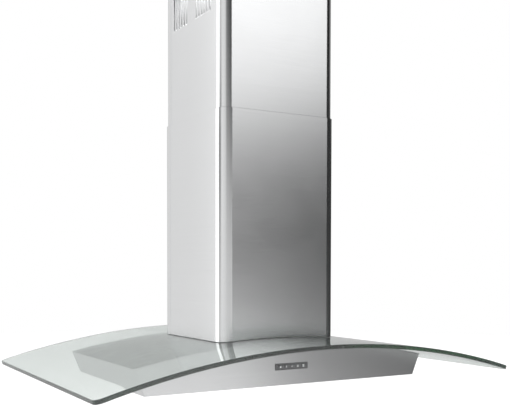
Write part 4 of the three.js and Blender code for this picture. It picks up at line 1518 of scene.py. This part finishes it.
@dataclass
class Blower:
    """The fan, its motor, the outlet with its two flaps, and the wiring.

    Attributes:
        shop: what the pieces are made with.
        axis_height: of the fan's axle.
        motor_slots: how many cooling slots the motor has round it.
    """

    shop: Workshop
    axis_height: float = field(default_factory=lambda: middle_of("motor_shaft").z)
    motor_slots: int = 14

    def build(self) -> None:
        """Makes every piece of the blower."""
        refine = self.shop.refine
        for side in ("left", "right"):
            refine(f"blower_housing_{side}", "canopy", "grey", 0.7 * MM)
        refine("impeller", "impeller", "grey", 0.3 * MM)
        refine("motor_shaft", "impeller", "zinc", 0.4 * MM)
        refine("motor_bracket", "canopy", "zinc", 0.5 * MM)
        self._motor()
        self._collar()
        for side in ("front", "rear"):
            refine(f"damper_flap_{side}", f"damper_{side}", "aluminium", 0.2 * MM)
            self._flap_rib(side)
        refine("damper_pin", "canopy", "zinc", 0.3 * MM)
        self._wiring_box()
        self._gland()
        self._capacitor()

    def _motor(self) -> None:
        """Makes the motor's can with two end bells and a ring of cooling slots."""
        low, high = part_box("blower_motor")
        radius = (high.z - low.z) / 2
        length = high.x - low.x
        neck = radius - 1.2 * MM
        bore = 4.3 * MM
        depth = 20 * MM
        bell = [(radius * 0.8, 2 * MM), (neck, 6 * MM), (neck, 8 * MM), (radius, 8.4 * MM)]
        side = [(radius, length * 0.45), (neck, length * 0.46)]
        groove = [*side, (neck, length * 0.54), (radius, length * 0.55)]
        far_bell = [(r, length - z) for r, z in reversed(bell)]
        socket = [(bore, length), (bore, length - depth), (0, length - depth), (0, 0)]
        profile = [(0, 0), (radius * 0.55, 0), *bell, *groove, *far_bell, (radius * 0.4, length), *socket]
        mesh = turned(profile, 56)
        turn = Matrix.Rotation(math.pi / 2, 4, "Y")
        place = Matrix.Translation((low.x, 0, self.axis_height))
        bmesh.ops.transform(mesh, matrix=place @ turn, verts=mesh.verts)
        made = as_object("blower_motor_can", mesh)
        axle = Matrix.Translation((0, 0, self.axis_height))
        middle = Vector((high.x - 9 * MM, 0, radius))
        corners = spread(middle, (10 * MM, 3.2 * MM, radius * 0.2))
        slots = []
        for i in range(self.motor_slots):
            slot = rounded_block(*corners, Axis.Z, 1.5 * MM, 3)
            turn = Matrix.Rotation(math.tau * i / self.motor_slots, 4, "X")
            bmesh.ops.transform(slot, matrix=axle @ turn, verts=slot.verts)
            slots.append(slot)
        carve(made, joined(slots))
        self.shop.dressing("canopy", "motor", "blower_motor").put_on(made)

    def _collar(self) -> None:
        """Makes the outlet collar, with a rolled rim, a bead and a flange."""
        low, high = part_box("outlet_collar")
        flange = (high.x - low.x) / 2
        outer = flange - 2 * MM
        waist = outer - 0.2 * MM
        inner = outer - 1.2 * MM
        top = high.z - low.z
        rim = flange - 0.4 * MM
        foot = [(inner, 0), (rim, 0), (flange, 0.4 * MM), (flange, 1.6 * MM), (rim, 2 * MM)]
        wall = [(outer + 0.3 * MM, 2.1 * MM), (waist, 3 * MM), (waist, top * 0.6)]
        bead = [(outer, top * 0.63), (outer, top * 0.67), (waist, top * 0.7), (waist, top - MM)]
        roll = [(outer - 0.4 * MM, top), (inner + 0.3 * MM, top), (inner, top - 0.5 * MM), (inner, 0)]
        profile = [*foot, *wall, *bead, *roll]
        mesh = turned(profile, 96, Vector((0, 0, low.z)))
        self.shop.piece("outlet_collar_turned", mesh, "canopy", "grey", "outlet_collar")

    def _flap_rib(self, side: str) -> None:
        """Makes the stiffening rib along the middle of a flap."""
        node = f"damper_flap_{side}"
        middle = middle_of(node)
        middle.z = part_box(node)[1].z + 0.9 * MM
        low, high = spread(middle, (70 * MM, 5 * MM, 2 * MM))
        mesh = rounded_block(low, high, Axis.Z, 2.4 * MM)
        round_off(mesh, edges_at(mesh, high.z), 0.9 * MM, 3)
        self.shop.piece(f"{node}_rib", mesh, f"damper_{side}", "aluminium")

    def _wiring_box(self) -> None:
        """Makes the wiring box: its case, its lid and a core that shows as the line between them."""
        low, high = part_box("wiring_box")
        parts = []
        lid = high.x - 6 * MM
        gap = 0.25 * MM
        for start, end in ((low.x, lid - gap), (lid + gap, high.x)):
            mesh = rounded_block(Vector((start, low.y, low.z)), Vector((end, high.y, high.z)), Axis.X, 3 * MM)
            round_off(mesh, sharp_edges(mesh, 1.2), 0.5 * MM, 2)
            parts.append(mesh)
        core = Vector((MM, 2 * MM, 2 * MM))
        parts.append(block(low + core, high - core))
        self.shop.piece("wiring_box_case", joined(parts), "canopy", "grey", "wiring_box")

    def _gland(self) -> None:
        """Makes the cable gland: a hexagon nut under a ribbed dome."""
        low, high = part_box("cable_gland")
        at = middle_of("cable_gland")
        nut = (high.y - low.y) / 2
        half = (high.z - low.z) / 2
        dome = nut - 2 * MM
        bore = 4 * MM
        hexagon = rod(nut, low.z, low.z + half, at, 6)
        round_off(hexagon, sharp_edges(hexagon, 0.5), 0.6 * MM, 2)
        profile = [(bore, half), (dome, half), (dome, 2 * half - 3 * MM), (dome - 1.2 * MM, 2 * half - MM),
                   (dome - 2.6 * MM, 2 * half), (bore, 2 * half), (bore, half)]
        collar = turned(profile, 32, Vector((at.x, at.y, low.z)))
        made = as_object("cable_gland_nut", joined([hexagon, collar]))
        carve(made, rod(bore, low.z - MM, high.z + MM, at, 32))
        self.shop.dressing("canopy", "dark", "cable_gland").put_on(made)

    def _capacitor(self) -> None:
        """Makes the capacitor: a can with a rolled seam, a domed foot and two terminals."""
        low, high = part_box("motor_capacitor")
        at = middle_of("motor_capacitor")
        radius = (high.x - low.x) / 2
        top = high.z - low.z - 6 * MM
        neck = radius - 0.6 * MM
        can = [(0, 0), (radius - 2.5 * MM, 0), (neck, 1.4 * MM), (neck, top - 5 * MM)]
        fold = (radius - 1.4 * MM, top - 4 * MM)
        seam = [fold, (radius, top - 2.4 * MM), (radius, top - 0.6 * MM), (neck, top)]
        lid = [(radius - 1.8 * MM, top), (radius - 2.2 * MM, top - 1.2 * MM), (0, top - 1.2 * MM), (0, 0)]
        parts = [turned([*can, *seam, *lid], 48, Vector((at.x, at.y, low.z)))]
        for side in (-1, 1):
            middle = Vector((at.x + side * 4 * MM, at.y, high.z - 4 * MM))
            parts.append(rounded_block(*spread(middle, (0.8 * MM, 6.3 * MM, 8 * MM)), Axis.X, 1.2 * MM))
        self.shop.piece("motor_capacitor_can", joined(parts), "canopy", "aluminium", "motor_capacitor")


# ---------------------------------------------------------------- studio
Stops = tuple[tuple[float, float], ...]
BACK_WALL: Stops = ((46, 0.62), (85, 0.6), (105, 0.86), (119.5, 0.86), (123, 2))
RIGHT_WALL: Stops = ((-47, 0.4), (-43, 0.02), (-15, 0.0), (0, 0.2), (34, 0.35))


@dataclass(frozen=True)
class StudioBand:
    """How bright the studio is, seen from the hood, all the way round at one height.

    Attributes:
        elevation: of the band above the horizon, in degrees.
        stops: pairs of bearing, in degrees from +X towards +Y, and brightness.
    """

    elevation: float
    stops: Stops


@dataclass
class Studio:
    """The floor, the soft surroundings that the metal mirrors, the lights and the camera.

    Attributes:
        floor_height: of the floor, well below the hanging hood.
        bands: the surroundings, from the lowest band to the highest.
        peak: brightness that the bands' largest value stands for.
        focal_length: of the camera, in millimetres for a sensor 36 mm wide.
        shift: of the camera's picture, as shares of the sensor's width.
        eye: the camera's place.
        pitch: how far the camera looks down, in degrees.
        yaw: how far it looks to the right of +Y, in degrees.
    """

    floor_height: float = -1.9
    peak: float = 2.0
    bands: tuple[StudioBand, ...] = (
        StudioBand(-35, ((-180, 0.7), (180, 0.7))),
        StudioBand(-10, (
            (-180, 0.95), (-150, 0.9), (-130, 0.87), (-110, 0.84), (-80, 0.82), (-68, 0.98), (-60, 1.1),
            (-54, 0.5), (-47, 0.26), (-38, 0.14), (0, 0.06), (34, 0.05),
            *BACK_WALL, (160, 2), (167, 0.95), (180, 0.95))),
        StudioBand(3, (
            (-180, 0.6), (-174, 0.65), (-166, 0.95), (-150, 0.92), (-130, 0.84), (-110, 0.77), (-80, 0.7),
            (-68, 0.68), (-62, 0.06), (-54, 0.0), (-45, 0.0), (-36, 0.03), (34, 0.04),
            *BACK_WALL, (160, 2), (166, 0.65), (180, 0.6))),
        StudioBand(9, (
            (-180, 0.0), (-173, 0.0), (-166, 1.05), (-150, 0.92), (-130, 0.76), (-118, 0.58), (-100, 0.42),
            (-68, 0.26), (-63, 0.5), (-54, 0.2), (-47, 0.08), (-40, 0.03), (34, 0.04),
            *BACK_WALL, (159, 2), (163, 0.0), (180, 0.0))),
        StudioBand(15, (
            (-180, 0.7), (-170, 0.92), (-142, 0.9), (-130, 0.74), (-120, 0.22), (-106, 0.1), (-81, 0.0),
            (-66, 0.0), (-63, 1.5), (-56, 1.4), (-50, 1.25), *RIGHT_WALL,
            *BACK_WALL, (160, 2), (168, 0.7), (180, 0.7))),
        StudioBand(24, (
            (-180, 0.9), (-142, 0.9), (-130, 0.74), (-120, 0.2), (-106, 0.08), (-81, 0.0), (-66, 0.0),
            (-63, 1.6), (-56, 1.55), (-50, 1.45), *RIGHT_WALL,
            (46, 0.7), (85, 0.68), (105, 0.9), (119.5, 0.9), (123, 2), (160, 2), (168, 0.85), (180, 0.9))),
        StudioBand(60, ((-180, 1.1), (180, 1.1))),
        StudioBand(82, ((-180, 0.2), (180, 0.2))),
    )
    focal_length: float = 54.555
    shift: tuple[float, float] = (0.0953, 0.1773)
    eye: tuple[float, float, float] = (-0.8487, -1.4022, -0.6478)
    pitch: float = 1.798
    yaw: float = 28.178

    def build(self) -> None:
        """Sets up the whole studio."""
        self._surroundings()
        self._floor()
        self._lights()
        self._camera()
        bpy.context.scene.view_settings.view_transform = "Standard"

    def _surroundings(self) -> None:
        """Builds a world that is white behind the hood and banded where the metal mirrors it."""
        world = bpy.data.worlds.new("studio")
        world.use_nodes = True
        bpy.context.scene.world = world
        nodes = NodeBuilder(world.node_tree)
        background = world.node_tree.nodes["Background"]
        direction = nodes.add("SeparateXYZ", {0: nodes.add("TexCoord").outputs["Generated"]})
        x, y, z = direction.outputs
        turn = nodes.math("MULTIPLY_ADD", nodes.math("ARCTAN2", y, x), 1 / math.tau, 0.5)
        rise = nodes.math("MULTIPLY", nodes.math("ARCSINE", z), 180 / math.pi)
        color = self._band(nodes, turn, self.bands[0])
        for lower, upper in zip(self.bands, self.bands[1:]):
            span = {"Value": rise, "From Min": lower.elevation, "From Max": upper.elevation}
            share = nodes.add("MapRange", span, interpolation_type="SMOOTHSTEP").outputs[0]
            color = nodes.blend(share, color, self._band(nodes, turn, upper))
        path = nodes.add("LightPath")
        bounced = nodes.math("ADD", path.outputs["Glossy Depth"], path.outputs["Diffuse Depth"])
        seen = nodes.math("GREATER_THAN", bounced, 0.5)
        glow = nodes.blend(seen, (1 / self.peak,) * 3, color)
        nodes.feed(background, {"Color": glow})
        background.inputs["Strength"].default_value = self.peak

    def _band(self, nodes: NodeBuilder, turn: Socket, band: StudioBand) -> Socket:
        """Returns the colour of one band by the bearing."""
        stops = [((bearing + 180) / 360, brightness / self.peak) for bearing, brightness in band.stops]
        return nodes.ramp(turn, stops)

    def _floor(self) -> None:
        """Lays a wide, round, pale floor far below the hood."""
        mesh = bmesh.new()
        bmesh.ops.create_circle(mesh, cap_ends=True, segments=96, radius=14,
                                matrix=Matrix.Translation((0, 0, self.floor_height)))
        floor = as_object("studio_floor", mesh)
        material, nodes, shader = start_material("pale_floor")
        cloud = nodes.add("TexNoise", {"Vector": nodes.place(), "Scale": 0.6, "Detail": 2.0})
        color = nodes.blend(cloud.outputs[0], (0.93, 0.93, 0.93), (0.96, 0.96, 0.96))
        nodes.feed(shader, {"Base Color": color})
        shader.inputs["Roughness"].default_value = 0.9
        shader.inputs["Emission Color"].default_value = (1, 1, 1, 1)
        shader.inputs["Emission Strength"].default_value = 0.35
        floor.data.materials.append(material)
        floor.visible_glossy = False

    def _lights(self) -> None:
        """Hangs one wide soft light over the front of the hood and a small one over its air duct."""
        self._softbox("overhead_softbox", (2.4, 1.6), 22, Vector((-0.8, -1.9, 1.6)), Vector((0, 0, -0.6)))
        self._softbox("duct_light", (0.15, 0.15), 0.5, Vector((0, 0, 0.05)), Vector((0.02, -0.05, -1)), True)

    def _softbox(self, name: str, size: tuple[float, float], power: float, place: Vector, target: Vector,
                 mirrored: bool = False) -> None:
        """Adds a rectangular light that the camera doesn't see.

        Args:
            name: the light's name.
            size: its width and depth.
            power: in watts.
            place: where it hangs.
            target: the point that it faces.
            mirrored: the metal and the glass reflect it.
        """
        light = bpy.data.lights.new(name, "AREA")
        light.shape = "RECTANGLE"
        light.size, light.size_y = size
        light.energy = power
        lamp = link_object(name, light)
        lamp.location = place
        lamp.rotation_euler = (target - place).to_track_quat("-Z", "Y").to_euler()
        lamp.visible_glossy = mirrored
        lamp.visible_camera = False

    def _camera(self) -> None:
        """Sets the camera in front of the hood's left side, a little below its middle."""
        data = bpy.data.cameras.new("view")
        data.sensor_width = 36
        data.lens = self.focal_length
        data.shift_x, data.shift_y = self.shift
        data.clip_start, data.clip_end = 0.05, 60
        camera = link_object("view", data)
        camera.location = self.eye
        camera.rotation_euler = (math.radians(90 - self.pitch), 0, math.radians(-self.yaw))
        bpy.context.scene.camera = camera


def main() -> None:
    """Builds the studio and every sub-assembly round the frame."""
    logging.basicConfig(level=logging.INFO, format="%(name)s: %(message)s")
    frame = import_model()
    Studio().build()
    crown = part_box("glass_canopy")[1].z
    shop = Workshop(frame["nodes"], Finishes().make(), Arch(crown - ARCH_RADIUS, ARCH_RADIUS))
    assemblies = (TelescopicChimney, GlassCanopy, CanopyBody, GreaseFilters,
                  Lamps, ControlStrip, SupportFrame, Blower)
    for assembly in assemblies:
        log.info("building %s", assembly.__name__)
        assembly(shop).build()


if __name__ == "__main__":
    main()
